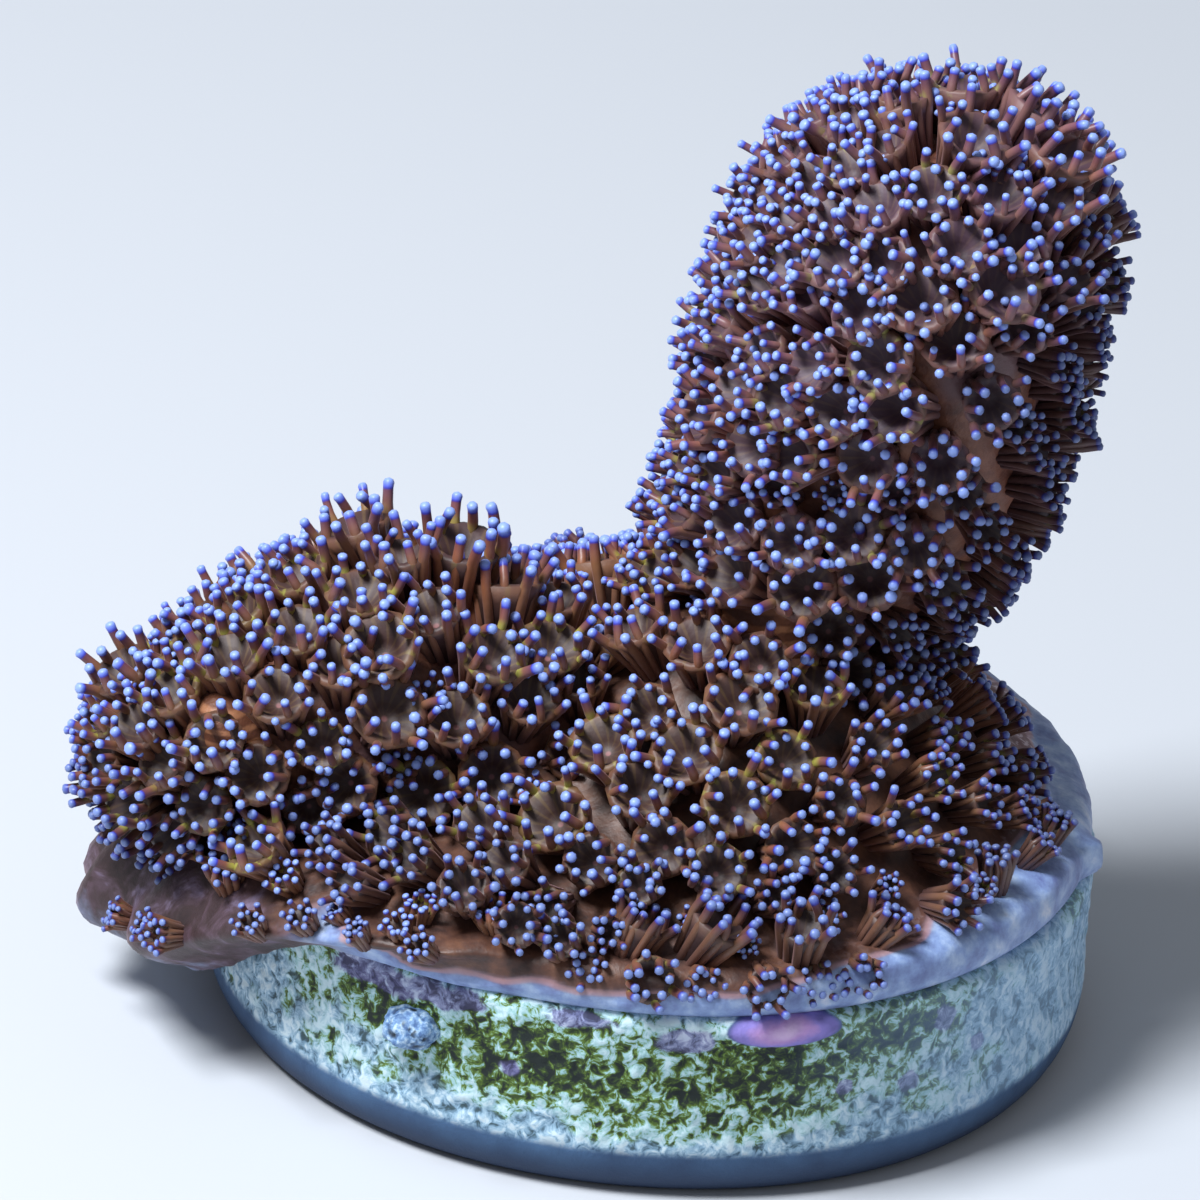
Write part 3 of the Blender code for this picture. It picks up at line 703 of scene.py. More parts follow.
def tentacles(feet, axes, heights, openness):
    """Tube points round each path, centre + R (cos b * outward + sin b * sideways), and both end points."""
    count = len(feet)
    centre, turn = tentacle_paths(count, openness)
    thickness = 1 + random.normal(0, THICKNESS_SPREAD, (count, TENTACLES, 1))
    own = np.concatenate([RIB[:, 2], FREE[:, 1]]) * thickness
    own = own * np.sqrt(POLYP_HEIGHT / heights)[:, None, None]
    along = unit(np.gradient(centre, axis=2))
    side = np.stack([-np.sin(turn), np.cos(turn), np.zeros_like(turn)], axis=-1)[:, :, None]
    outward = unit(np.cross(side, along))
    side = np.cross(along, outward)
    b = np.linspace(0, 2 * math.pi, TENTACLE_SIDES, endpoint=False)[:, None]
    ring = outward[..., None, :] * np.cos(b) + side[..., None, :] * np.sin(b)
    points = centre[..., None, :] + own[..., None, None] * ring
    foot = centre[:, :, :1] - along[:, :, :1] * own[:, :, :1, None]
    tip = centre[:, :, -1:] + along[:, :, -1:] * 0.35 * own[:, :, -1:, None]
    local = np.concatenate([points.reshape(count, TENTACLES, -1, 3), foot, tip], axis=2)
    return to_world(local.reshape(count, -1, 3), feet, axes, heights)


def tentacle_values(mood, shaded):
    """Values per point: reach from foot to tip, facing out or in, a tone, a mood and dimness as painted
    shade.
    """
    count = len(mood)
    rings = len(RIB) + len(FREE)
    reach = np.concatenate([np.linspace(0, 0.5, len(RIB)), 0.5 + 0.5 * FREE[:, 0]])
    reach = np.concatenate([np.repeat(reach, TENTACLE_SIDES), [0, 1]])
    b = np.linspace(0, 2 * math.pi, TENTACLE_SIDES, endpoint=False)
    facing = np.concatenate([np.tile(np.cos(b), rings), [0, 0]])
    tone = np.repeat(random.uniform(0, 1, count * TENTACLES), len(reach))
    return {"reach": np.tile(reach, count * TENTACLES), "facing": np.tile(facing, count * TENTACLES),
            "tone": tone, "mood": np.repeat(mood, TENTACLES * len(reach)),
            "shaded": np.repeat(shaded, TENTACLES * len(reach))}


TUBE = tube_faces(len(RIB) + len(FREE), TENTACLE_SIDES)
TUBE_POINTS = (len(RIB) + len(FREE)) * TENTACLE_SIDES + 2
print("a tentacle has", len(TUBE[0]) + len(TUBE[1]), "faces")

# %% [markdown]
# ## The core of a polyp
#
# Inside the ring of tentacles the polyp has a flat disc with its mouth in the middle. It is the top of a
# plain core, a profile turned round the polyp's axis.

# %% Cores
CORE_SIDES = 12
CORE = np.array([(0.19, -0.08), (0.36, 0.50), (0.445, 0.69), (0.35, 0.72), (0.16, 0.47)])
MOUTH = 0.40  # height of the mouth
SCALLOP = np.array([0, 0.03, 0.08, 0.04, 0])  # how far each ring reaches out at the tentacles


def cores(feet, axes, heights, openness):
    """Core points: profile radius in direction a, and its height. A less open crown is drawn in."""
    a = np.linspace(0, 2 * math.pi, CORE_SIDES, endpoint=False) + math.pi / TENTACLES
    drawn = 1 + (openness[:, None] - 1) * 0.5 * smooth_step(CORE[:, 1] / 0.6)
    radius = (CORE[:, 0] * drawn)[..., None] * (1 + SCALLOP[:, None] * np.cos(TENTACLES / 2 * a))
    height = np.broadcast_to(CORE[:, 1][:, None], (len(feet), len(CORE), CORE_SIDES))
    local = np.stack([radius * np.cos(a), radius * np.sin(a), height], axis=-1).reshape(len(feet), -1, 3)
    ends = np.broadcast_to(np.array([(0, 0, CORE[0, 1]), (0, 0, MOUTH)]), (len(feet), 2, 3))
    local = np.concatenate([local, ends], axis=1)
    return to_world(local, feet, axes, heights), local


CORE_TUBE = tube_faces(len(CORE), CORE_SIDES)
CORE_POINTS = len(CORE) * CORE_SIDES + 2
print("a core has", len(CORE_TUBE[0]) + len(CORE_TUBE[1]), "faces")

# %% [markdown]
# ## Skin and stone
#
# Under the polyps lies the tissue that joins them. It is a closed grid over each branch, and over the base,
# with small lumps from a smooth random field. The same field makes the grit on the disc's wall.

# %% A smooth random field
def field(points, size, seed):
    """Random numbers at the corners of a cubic lattice of the given size, blended by 3x^2 - 2x^3 between."""
    place = points / size
    corner = np.floor(place).astype(np.int64)
    blend = smooth_step(place - corner)
    total = np.zeros(points.shape[:-1])
    for k in range(8):
        offset = np.array([k & 1, k >> 1 & 1, k >> 2])
        x, y, z = np.moveaxis(corner + offset, -1, 0)
        # Products with large primes turn a corner's place and the seed into a number that looks random
        mixed = (x * 73856093 ^ y * 19349663 ^ z * 83492791 ^ seed * 2654435761) & 0xFFFFFFFF
        mixed = ((mixed ^ mixed >> 13) * 0x5BD1E995) & 0xFFFFFFFF
        weight = np.prod(np.where(offset, blend, 1 - blend), axis=-1)
        total = total + weight * (mixed ^ mixed >> 15) / 0xFFFFFFFF
    return total


# %% The branches' tissue
TISSUE_RINGS, TISSUE_SIDES = 110, 120
TISSUE_LUMPS = 0.14 * MM
FOLD_HEIGHT, FOLD_WIDTH = 1.5 * MM, 1.3  # bare tissue bulges in the hollows


def branch_tissue(branch):
    """The branch form on a grid of t and a, closer near the tip, moved along its normal by random fields."""
    t = np.repeat(np.sin(np.linspace(0.002, math.pi / 2 * 0.985, TISSUE_RINGS)), TISSUE_SIDES)
    a = np.tile(np.linspace(0, 2 * math.pi, TISSUE_SIDES, endpoint=False), TISSUE_RINGS)
    points = branch.point(t, a)
    lumps = field(points, 0.9 * MM, 1) + 0.5 * field(points, 0.4 * MM, 2) - 0.75
    nearest = [np.exp(-(np.linalg.norm(points - MM * np.array(at), axis=1) / (FOLD_WIDTH * wide * MM)) ** 2)
               for *at, wide in HOLLOWS]
    fold = np.max(nearest, axis=0)
    points = points + branch.normal(t, a) * (TISSUE_LUMPS * lumps + FOLD_HEIGHT * fold)[:, None]
    ends = branch.centre(np.array([0.0, 1.0]))
    return np.concatenate([points, ends]), {"fold": np.concatenate([fold, [0, 0]])}


# %% The base's tissue
BASE_SIDES, BASE_TOP_RINGS, EDGE_SUBDIVISIONS = 300, 60, 8
UNDERSIDE_RINGS = 4
SEAT = 0.42 * MM  # how far the living edge reaches down past the solid's underside, onto the ceramic
BASE_LUMPS = 0.12 * MM
BUMP_BEARING, BUMP_WIDTH, BUMP_REACH = math.radians(-8), math.radians(2), 0.4 * MM
PALE_FRONT, PALE_BEAD = 0.36, 0.85  # how far up the section the edge is pale, and how much more at the bead
PALE_CORNER = (math.radians(229), 0.13)
# Pointed tips of the skirt: bearing, width and reach
SKIRT_TIPS = ((math.radians(184), math.radians(2.6), 0.9 * MM),
              (math.radians(190), math.radians(3.2), 1.1 * MM),
              (math.radians(203), math.radians(4), 0.5 * MM))


def smooth_section(values):
    """Catmull-Rom curve through the section's points: the last axis gains EDGE_SUBDIVISIONS steps a span."""
    ends = 2 * values[..., [0, -1]] - values[..., [1, -2]]
    p = np.concatenate([ends[..., :1], values, ends[..., 1:]], axis=-1)
    u = np.arange(EDGE_SUBDIVISIONS) / EDGE_SUBDIVISIONS
    before, here, there, beyond = (p[..., k:k + values.shape[-1] - 1, None] for k in range(4))
    curve = here + 0.5 * u * (there - before + u * (2 * before - 5 * here + 4 * there - beyond
                                                    + u * (3 * (here - there) + beyond - before)))
    return np.concatenate([curve.reshape(*values.shape[:-1], -1), values[..., -1:]], axis=-1)


def base_edge(bearing):
    """Radii and heights of the section's rings at each bearing, seated on the disc, with the skirt's tips."""
    radius, height = (smooth_section(values) for values in base_section(bearing))
    skirt = skirt_share(bearing)[:, None]
    lowest = smooth_step((BASE_BOTTOM + 0.9 * MM - height) / (0.9 * MM)) * (1 - smooth_step(skirt * 4))
    height = height - SEAT * lowest
    out_here = smooth_step((radius - 11.9 * MM) / (3 * MM)) * skirt
    for at, width, reach in SKIRT_TIPS:
        radius = radius + reach * bell(bearing, at, width)[:, None] * out_here
    bump = BUMP_REACH * bell(bearing, BUMP_BEARING, BUMP_WIDTH)[:, None]
    radius = radius + bump * smooth_step((radius - 12.2 * MM) / (0.1 * MM))
    inner = np.linspace(0, 1, UNDERSIDE_RINGS + 1)[1:-1]
    under = np.stack([radius[:, :1] * inner, np.repeat(height[:, :1], len(inner), axis=1)])
    return np.concatenate([under, np.stack([radius, height])], axis=2)


def margin_values(points, bearing, share, edge_rings, top_rings):
    """Shares of the pale bead, the bare rim and the skirt at each point, and how far down it hangs."""
    bare_from = 1 - BARE_SHARE * bell(bearing, BARE_BEARING, BARE_WIDTH)
    wide_bare = bell(bearing, BARE_BEARING, BARE_WIDTH + 0.3)
    bead = bell(bearing, BEAD_BEARING, BEAD_WIDTH)
    rise = np.concatenate([np.zeros(UNDERSIDE_RINGS), np.linspace(0, 1, edge_rings), 1 + 8 * (1 - top_rings)])
    rise = np.repeat(rise, BASE_SIDES) + 0.25 * (field(points, 1.3 * MM, 12) - 0.5)
    pale_to = PALE_FRONT + PALE_BEAD * bead + 0.5 * bell(bearing, *PALE_CORNER)
    return {
        "bead": 1 - smooth_step((rise - pale_to) / 0.12),
        "bare": smooth_step((share - bare_from + 0.06) / 0.06) * wide_bare,
        "skirt": skirt_share(bearing),
        "drop": (BASE_BOTTOM - points[:, 2]) / (4.5 * MM),
    }


def base_tissue():
    """Rings from the underside's middle, out over the edge's section and back over the mound to its top."""
    bearing = np.linspace(0, 2 * math.pi, BASE_SIDES, endpoint=False)
    edge = base_edge(bearing)
    top_rings = np.linspace(1, 0, BASE_TOP_RINGS + 1)[1:-1]
    c, s = np.cos(bearing)[:, None], np.sin(bearing)[:, None]
    edge_points = np.stack([edge[0] * c, edge[0] * s, edge[1]], -1)
    edge_points = np.swapaxes(edge_points, 0, 1).reshape(-1, 3)
    top = base_point(np.repeat(top_rings, BASE_SIDES), np.tile(bearing, len(top_rings)))
    points = np.concatenate([edge_points, top])
    rings = edge.shape[2] + len(top_rings)
    grid = points.reshape(rings, -1, 3)
    normal = unit(np.cross(np.roll(grid, -1, axis=1) - grid, np.gradient(grid, axis=0))).reshape(-1, 3)
    free = np.repeat(np.arange(rings) >= UNDERSIDE_RINGS + 2 * EDGE_SUBDIVISIONS, BASE_SIDES)
    lumps = field(points, 0.9 * MM, 3) + 0.7 * field(points, 0.35 * MM, 4) - 0.85
    points = points + normal * (free * BASE_LUMPS * lumps)[:, None]
    share = np.repeat(np.concatenate([np.ones(edge.shape[2]), top_rings]), BASE_SIDES)
    edge_rings = edge.shape[2] - UNDERSIDE_RINGS
    values = margin_values(points, np.tile(bearing, rings), share, edge_rings, top_rings)
    values = {key: np.concatenate([data, data[:1], data[-1:]]) for key, data in values.items()}
    ends = np.array([[0, 0, edge[1][:, 0].min()], base_point(np.zeros(1), np.zeros(1))[0]])
    return np.concatenate([points, ends]), rings, values


# %% [markdown]
# ## The ceramic disc
#
# The disc has grown a crust: tufts of green algae between pale grit, patches of purple coralline algae, and
# one knobbly nodule. Its lower edge is worn bare. The crust is a grid over the disc's profile, moved
# outward by the random field, and the same field's value goes along as an attribute, so that the pits
# between the grains are green and the grains are pale.

# %% The disc's surface
DISC_WALL_RINGS, DISC_SIDES = 46, 640
GRAIN_HEIGHT = 0.2 * MM
COARSE_GRAIN, FINE_GRAIN = 0.34 * MM, 0.17 * MM


def disc_profile():
    """Radius and height from the underside's middle: out, a quarter turn, up the wall, a bevel and in."""
    turn = np.linspace(0, math.pi / 2, 9)[:-1]
    quarter = np.stack([DISC_FOOT_RADIUS + (DISC_RADIUS - DISC_FOOT_RADIUS) * np.sin(turn),
                        DISC_TURN_HEIGHT * (1 - np.cos(turn))], axis=1)
    up = np.linspace(DISC_TURN_HEIGHT, DISC_HEIGHT - DISC_TOP_BEVEL, DISC_WALL_RINGS)
    bulge = np.sin(math.pi * (up - up[0]) / (up[-1] - up[0]))
    wall = np.stack([DISC_RADIUS * (1 - 0.005 * bulge), up], axis=1)
    turn = np.linspace(0, math.pi / 2, 5)[1:]
    bevel = np.stack([DISC_RADIUS - DISC_TOP_BEVEL * (1 - np.cos(turn)),
                      DISC_HEIGHT - DISC_TOP_BEVEL * (1 - np.sin(turn))], axis=1)
    flat = np.array([0.35, 0.7]) * DISC_FOOT_RADIUS
    under = np.stack([flat, np.zeros(2)], axis=1)
    over = np.stack([flat[::-1], np.full(2, DISC_HEIGHT)], axis=1)
    return np.concatenate([under, quarter, wall, bevel, over])


def spot(bearing, height, at_degrees, at_mm, wide_mm, tall_mm):
    """One at a place on the wall, fading as exp of minus the squared distance, measured along the wall."""
    across = ((bearing - math.radians(at_degrees) + math.pi) % (2 * math.pi) - math.pi) * DISC_RADIUS
    return np.exp(-((across / (wide_mm * MM)) ** 2) - ((height - at_mm * MM) / (tall_mm * MM)) ** 2)


# Places on the wall: bearing in degrees, height, half width and half height in mm
DENSE_ALGAE = ((304, 4.9, 2.6, 0.9), (236, 4.6, 1.6, 1.0), (262, 3.9, 4.2, 1.3), (288, 4.0, 3.2, 1.2),
               (345, 6.0, 0.8, 0.9), (150, 3.8, 5.0, 1.4), (90, 3.5, 5.0, 1.2), (30, 4.2, 4.0, 1.2))
CORALLINE = ((234, 5.2, 2.2, 0.55), (243, 5.3, 1.6, 0.45), (254, 3.6, 0.42, 0.32), (276, 5.1, 1.0, 0.45),
             (308, 3.1, 0.5, 0.45), (313, 4.8, 0.45, 0.5), (320, 3.6, 0.35, 0.4), (298, 3.4, 0.35, 0.3),
             (262, 5.5, 1.2, 0.3), (120, 4.6, 1.8, 0.6), (60, 3.2, 0.8, 0.5), (180, 4.4, 1.2, 0.5))
OVAL_PATCH = (289, 5.45, 1.75, 0.55)
OVAL_RISE = 0.14 * MM


def grit(points, around):
    """Height of the grains: a coarse and a fine field, drawn out into slanting strokes on the right."""
    grain = 0.5 * field(points, COARSE_GRAIN, 5) + 0.5 * field(points, FINE_GRAIN, 6)
    slanting = field(points * np.array([1, 1, 0.4]) + points[:, 2:] * np.array([0, 0.5, 0]), COARSE_GRAIN, 10)
    return grain + (slanting - grain) * 0.7 * bell(around, math.radians(335), math.radians(30))


def algae_growth(points, around, height):
    """Dense spots and a patchy field, which fades towards the sides and stays whole at the back."""
    dense = np.max([spot(around, height, *place) for place in DENSE_ALGAE], axis=0)
    patchy = field(points, 2.3 * MM, 7)
    side_fade = 0.35 + 0.65 * smooth_step((bell(around, math.radians(268), math.radians(52)) - 0.15) / 0.4)
    behind = smooth_step(np.sin(around) * 2)
    algae = np.clip(dense * 0.75 + 0.45 * patchy * np.maximum(side_fade, behind), 0, 1)
    return algae * smooth_step((height - 1.2 * MM) / (1.2 * MM))


def disc_surface():
    """The turned profile, a little out of round as the solid is, with the grit on its wall."""
    profile = disc_profile()
    bearing = np.linspace(0, 2 * math.pi, DISC_SIDES, endpoint=False)
    wave = 1 + DISC_WAVINESS * np.sin(2 * bearing + 1) + DISC_WAVINESS / 2 * np.sin(5 * bearing)
    around, height = np.tile(bearing, len(profile)), np.repeat(profile[:, 1], DISC_SIDES)
    radius = np.outer(profile[:, 0], wave).ravel()
    points = np.stack([radius * np.cos(around), radius * np.sin(around), height], axis=1)
    grain = grit(points, around)
    oval = spot(around, height, *OVAL_PATCH)
    crust = smooth_step((height - 1.1 * MM) / (0.9 * MM)) * (1 - smooth_step((oval - 0.34) / 0.1))
    crust = crust * smooth_step((radius - 11.6 * MM) / (0.5 * MM))
    outward = points * np.array([1, 1, 0]) / np.maximum(radius, 1e-6)[:, None]
    points = points + outward * (GRAIN_HEIGHT * (grain - 0.55) * crust)[:, None]
    points = points + outward * (OVAL_RISE * smooth_step((oval - 0.3) / 0.3))[:, None]
    purple = np.max([spot(around, height, *place) for place in CORALLINE], axis=0)
    values = {"grain": grain, "crust": crust, "algae": algae_growth(points, around, height),
              "coralline": purple, "oval": oval}
    ends = np.array([[0, 0, 0], [0, 0, DISC_HEIGHT]])
    values = {key: np.concatenate([data, [0, 0]]) for key, data in values.items()}
    return np.concatenate([points, ends]), len(profile), values


# %% The nodule's surface
NODULE_RADIUS = 0.8 * MM
NODULE_BEARING = math.radians(240)
NODULE_LEVEL = 4.05 * MM
NODULE_RINGS, NODULE_SIDES = 34, 56


def nodule_surface():
    """A squashed ball on the wall, its radius changed by two random fields into knobs."""
    down = np.linspace(0, math.pi, NODULE_RINGS + 2)[1:-1]
    a = np.linspace(0, 2 * math.pi, NODULE_SIDES, endpoint=False)
    ring, height = np.sin(math.pi - down), np.cos(math.pi - down)
    level = np.repeat(height[:, None], len(a), 1)
    ball = np.stack([np.outer(ring, np.cos(a)), np.outer(ring, np.sin(a)), level], -1)
    ball = np.concatenate([ball.reshape(-1, 3), [[0, 0, -1], [0, 0, 1]]])
    knobs = 0.26 * field(ball, 0.42, 8) + 0.14 * field(ball, 0.2, 9)
    heading = np.array([math.cos(NODULE_BEARING), math.sin(NODULE_BEARING), 0])
    middle = heading * DISC_RADIUS + NODULE_LEVEL * UP
    return middle + ball * (NODULE_RADIUS * (0.82 + knobs))[:, None] * np.array([1, 1, 0.75]), knobs / 0.4


# %% [markdown]
# ## Living finishes
#
# The colony is brown because of the algae that live inside its tissue. Tentacles are reddish brown, with a
# yellow-green root on the mouth's side and a swollen tip packed with stinging cells, which looks pale blue
# with a deeper blue collar. The blue deepens down the knob to the collar: partly the knob's own colour,
# partly painted shade on its lower side. The reach attribute runs from foot to tip, so one ramp paints a
# whole tentacle.

# %% Tissue finishes
YELLOW_GREEN = srgb(172, 176, 70)
PALE_EDGE = srgb(214, 170, 176)
PAINTED_SHADE = srgb(40, 34, 46)  # painted shade: the dark colour that dim polyps are mixed with, by the share below at most
PAINTED_SHADE_SHARE = 0.58


def tentacle_flesh():
    """Ramp over reach, yellow-green at the root on the mouth's side, and a tone for each tentacle."""
    net = Network("tentacle_flesh")
    reach, facing, tone, mood, shaded = (net.value(n) for n in ("reach", "facing", "tone", "mood", "shaded"))
    # The knob's pale blue deepens down to the collar: partly its own colour, partly painted shade on its
    # lower side
    colour = net.ramp(reach, [
        (0.0, srgb(100, 68, 56)), (0.25, srgb(136, 96, 72)), (0.5, srgb(140, 98, 64)),
        (0.7, srgb(126, 82, 68)), (0.84, srgb(104, 60, 76)), (0.865, srgb(56, 52, 160)),
        (0.895, srgb(84, 98, 206)), (0.93, srgb(108, 127, 214)), (0.965, srgb(124, 148, 222)),
        (1.0, srgb(138, 163, 228)),
    ])
    near_crown = net.times(net.step(reach, 0.40, 0.52), net.step(reach, 0.70, 0.54))
    green = net.times(near_crown, net.step(facing, 0.4, -0.5), net.step(mood, 0.4, 0.9), 0.8)
    colour = net.mix(green, colour, YELLOW_GREEN)
    flesh = net.step(reach, 0.86, 0.82)
    mottle = net.step(net.noise(900, 2), 0.35, 0.7)
    shade = net.times(flesh, net.math("MULTIPLY_ADD", mottle, 0.35, net.times(tone, 0.3)))
    colour = net.mix(shade, colour, net.mix(0.5, colour, srgb(84, 44, 30)))
    broad = net.times(flesh, net.step(net.noise(260, 2), 0.5, 0.75), 0.5)
    colour = net.mix(broad, colour, srgb(170, 98, 56))
    colour = net.mix(net.times(flesh, net.mauve()), colour, srgb(118, 90, 128))
    # Painted shade: dim polyps, turned from the light or low under a branch, are mixed towards a dark colour
    colour = net.mix(net.times(shaded, PAINTED_SHADE_SHARE), colour, PAINTED_SHADE)
    net.bump(net.noise(5000, 2), 0.00003, 0.3)
    return net.finish(colour, 0.42, Sheen_Weight=0.2, Sheen_Roughness=0.35, Sheen_Tint=(*PALE_EDGE, 1))


def polyp_column():
    """Brown core with faint olive lines on its mouth disc, from the angle of the point on the disc."""
    net = Network("polyp_core")
    x, y, level, mood, shaded = (net.value(n) for n in ("across", "aside", "level", "mood", "shaded"))
    turn = net.math("ARCTAN2", y, x)
    stripe = net.step(net.math("COSINE", net.times(turn, float(TENTACLES))), 0.3, 0.95)
    away = net.math("SQRT", net.math("ADD", net.times(x, x), net.times(y, y)))
    colour = net.ramp(level, [(0.0, srgb(100, 68, 56)), (0.4, srgb(132, 90, 66)), (0.62, srgb(132, 90, 60)),
                              (0.72, srgb(112, 74, 50))])
    # The mouth disc inside the cup: its own dark brown, darkened further as painted shade
    inside = net.step(away, 0.46, 0.3)
    colour = net.mix(inside, colour, srgb(58, 38, 28))
    lines = net.times(stripe, net.step(away, 0.05, 0.3, 0.08, 0.3), net.step(away, 0.5, 0.4))
    colour = net.mix(lines, colour, srgb(130, 104, 50))
    root = net.times(net.step(away, 0.3, 0.38), net.step(away, 0.5, 0.44), net.step(level, 0.6, 0.7),
                     net.step(mood, 0.5, 0.95), net.step(net.noise(1500, 2), 0.4, 0.6),
                     net.math("MULTIPLY_ADD", stripe, 0.8, 0.15), 0.75)
    colour = net.mix(root, colour, YELLOW_GREEN)
    colour = net.mix(net.times(net.step(away, 0.05, 0.02), 0.7), colour, srgb(160, 104, 104))
    colour = net.mix(net.times(net.noise(1500, 2), 0.3), colour, srgb(80, 46, 36))
    colour = net.mix(net.mauve(), colour, srgb(112, 86, 120))
    # Painted shade: dim polyps are mixed towards a dark colour
    colour = net.mix(net.times(shaded, PAINTED_SHADE_SHARE), colour, PAINTED_SHADE)
    net.bump(net.noise(4000, 3), 0.00004, 0.4)
    return net.finish(colour, 0.55)


def coral_skin():
    """Orange-brown tissue with darker folds."""
    net = Network("coral_skin")
    fold = net.noise(1300, 4, 0.6)
    colour = net.ramp(fold, [(0.3, srgb(96, 58, 50)), (0.5, srgb(140, 88, 68)), (0.7, srgb(166, 108, 82))])
    colour = net.mix(net.step(net.noise(350, 2), 0.5, 0.7), colour, srgb(132, 100, 104))
    wave = net.math("MULTIPLY_ADD", net.height(), 14000.0, net.times(net.noise(400, 2), 9.0))
    stripe = net.step(net.math("SINE", wave), -0.2, 0.9)
    striped = net.mix(stripe, srgb(104, 62, 42), srgb(158, 106, 74))
    colour = net.mix(net.step(net.value("fold"), 0.15, 0.4), colour, striped)
    net.bump(net.noise(2600, 5, 0.65), 0.00012, 0.6)
    return net.finish(colour, 0.45, Sheen_Weight=0.2, Sheen_Tint=(*PALE_EDGE, 1))


def margin_skin():
    """The base: brown tissue, a bare pale pink margin, a lavender growing edge and a thin brown skirt."""
    net = Network("margin_skin")
    bead, bare, skirt, drop = (net.value(name) for name in ("bead", "bare", "skirt", "drop"))
    fold = net.noise(1300, 4, 0.6)
    colour = net.ramp(fold, [(0.3, srgb(48, 30, 26)), (0.5, srgb(82, 52, 40)), (0.7, srgb(112, 74, 54))])
    grains = net.step(net.noise(3800, 2), 0.52, 0.6)
    pink = net.mix(grains, srgb(128, 92, 98), srgb(206, 186, 196))
    colour = net.mix(net.times(bare, net.step(net.noise(900, 3), 0.3, 0.5)), colour, pink)
    edge = net.ramp(net.noise(1200, 5, 0.6), [(0.3, srgb(98, 114, 166)), (0.5, srgb(134, 158, 204)),
                                             (0.62, srgb(164, 186, 220)), (0.75, srgb(204, 212, 232))])
    off_skirt = net.step(skirt, 0.3, 0.08)
    colour = net.mix(net.times(bead, off_skirt), colour, edge)
    seam = net.times(net.step(bead, 0.0, 0.3), net.step(bead, 0.8, 0.5), off_skirt, 0.45)
    colour = net.mix(seam, colour, srgb(196, 142, 134))
    # The skirt's flap: its own dark brown, darkened further as painted shade under the low branch
    flap = net.ramp(net.noise(900, 4, 0.6, 0.6), [(0.3, srgb(30, 20, 21)), (0.47, srgb(52, 36, 38)),
                                                 (0.58, srgb(76, 58, 68)), (0.72, srgb(124, 110, 136))])
    faded = net.mix(net.step(net.math("MULTIPLY_ADD", net.noise(1200, 3), 0.6, drop), 1.0, 1.3), flap,
                    srgb(130, 142, 172))
    colour = net.mix(net.times(net.step(skirt, 0.1, 0.4), net.step(drop, -0.25, 0.05)), colour, faded)
    net.bump(net.noise(3000, 4, 0.6), 0.00008, 0.5)
    return net.finish(colour, 0.5, Sheen_Weight=0.15, Sheen_Tint=(*PALE_EDGE, 1))


# %% [markdown]
# ## Finishes of the disc
#
# The grain attribute is the height of the grit. A threshold that drops where algae are dense turns pits
# green and leaves the tops pale, which is how turf algae grow between grains.

# %% Disc finishes
def crusted_ceramic():
    """Pale blue-white grit, green in the pits where algae grow, purple patches and a smooth bare foot."""
    net = Network("crusted_ceramic")
    names = ("grain", "crust", "algae", "coralline", "oval")
    grain, crust, algae, coralline, oval = (net.value(name) for name in names)
    clump = net.noise(3000, 4, 0.62, 0.8)
    rough = net.math("MULTIPLY_ADD", grain, 0.6, net.math("MULTIPLY_ADD", clump, 1.5, -0.45))
    pale = net.ramp(rough, [(0.36, srgb(64, 86, 92)), (0.44, srgb(96, 126, 144)), (0.54, srgb(136, 170, 194)),
                            (0.68, srgb(176, 206, 224)), (0.8, srgb(214, 232, 240))])
    spread = net.math("MULTIPLY_ADD", net.noise(800, 3), 1.1, -0.55)
    overgrown = net.step(net.math("ADD", algae, spread), 0.16, 0.36)
    thick = net.math("SUBTRACT", rough, net.math("MULTIPLY_ADD", algae, 0.36, -0.18))
    green = net.ramp(thick, [(0.34, srgb(16, 24, 2)), (0.46, srgb(58, 78, 4)), (0.54, srgb(96, 122, 20)),
                             (0.59, srgb(130, 166, 120)), (0.65, srgb(160, 204, 206)),
                             (0.82, srgb(208, 234, 240))])
    colour = net.mix(overgrown, pale, green)
    purple = net.ramp(rough, [(0.4, srgb(66, 62, 96)), (0.55, srgb(108, 104, 156)),
                              (0.72, srgb(150, 148, 192)), (0.85, srgb(190, 196, 222))])
    ragged = net.math("MULTIPLY_ADD", net.noise(1500, 3), 1.2, net.times(rough, -0.3))
    patch = net.step(net.math("ADD", coralline, ragged), 0.86, 1.06)
    colour = net.mix(net.times(patch, 0.85), colour, purple)
    # Painted light: the disc's right side, turned from the lamp, is mixed towards a pale blue
    towards_right = net.add("ShaderNodeSeparateXYZ", Vector=net.position()).outputs[0]
    colour = net.mix(net.step(towards_right, 0.003, 0.011, 0.0, 0.4), colour, srgb(156, 194, 232))
    # The bare foot: its own blue-grey darkened as painted shade, most towards the bottom where it turns under
    foot = net.ramp(net.noise(700, 4), [(0.3, srgb(48, 76, 112)), (0.7, srgb(74, 110, 150))])
    foot = net.mix(net.step(net.height(), 0.0018, 0.0002), foot, srgb(32, 50, 78))
    colour = net.mix(0.1, colour, srgb(40, 66, 96))
    colour = net.mix(net.step(crust, 0.7, 0.2), colour, foot)
    # The oval patch: its own violet and pink, with a paler pink middle that is a painted highlight
    violet = net.ramp(net.math("MULTIPLY_ADD", net.noise(1100, 3), 0.6, net.times(oval, 0.5)), [
        (0.48, srgb(112, 104, 172)), (0.6, srgb(142, 128, 204)), (0.72, srgb(190, 150, 210)),
        (0.84, srgb(216, 186, 226))])
    colour = net.mix(net.step(oval, 0.36, 0.48), colour, violet)
    net.bump(net.noise(9000, 3, 0.7), 0.00004, 0.6)
    return net.finish(colour, 0.75)


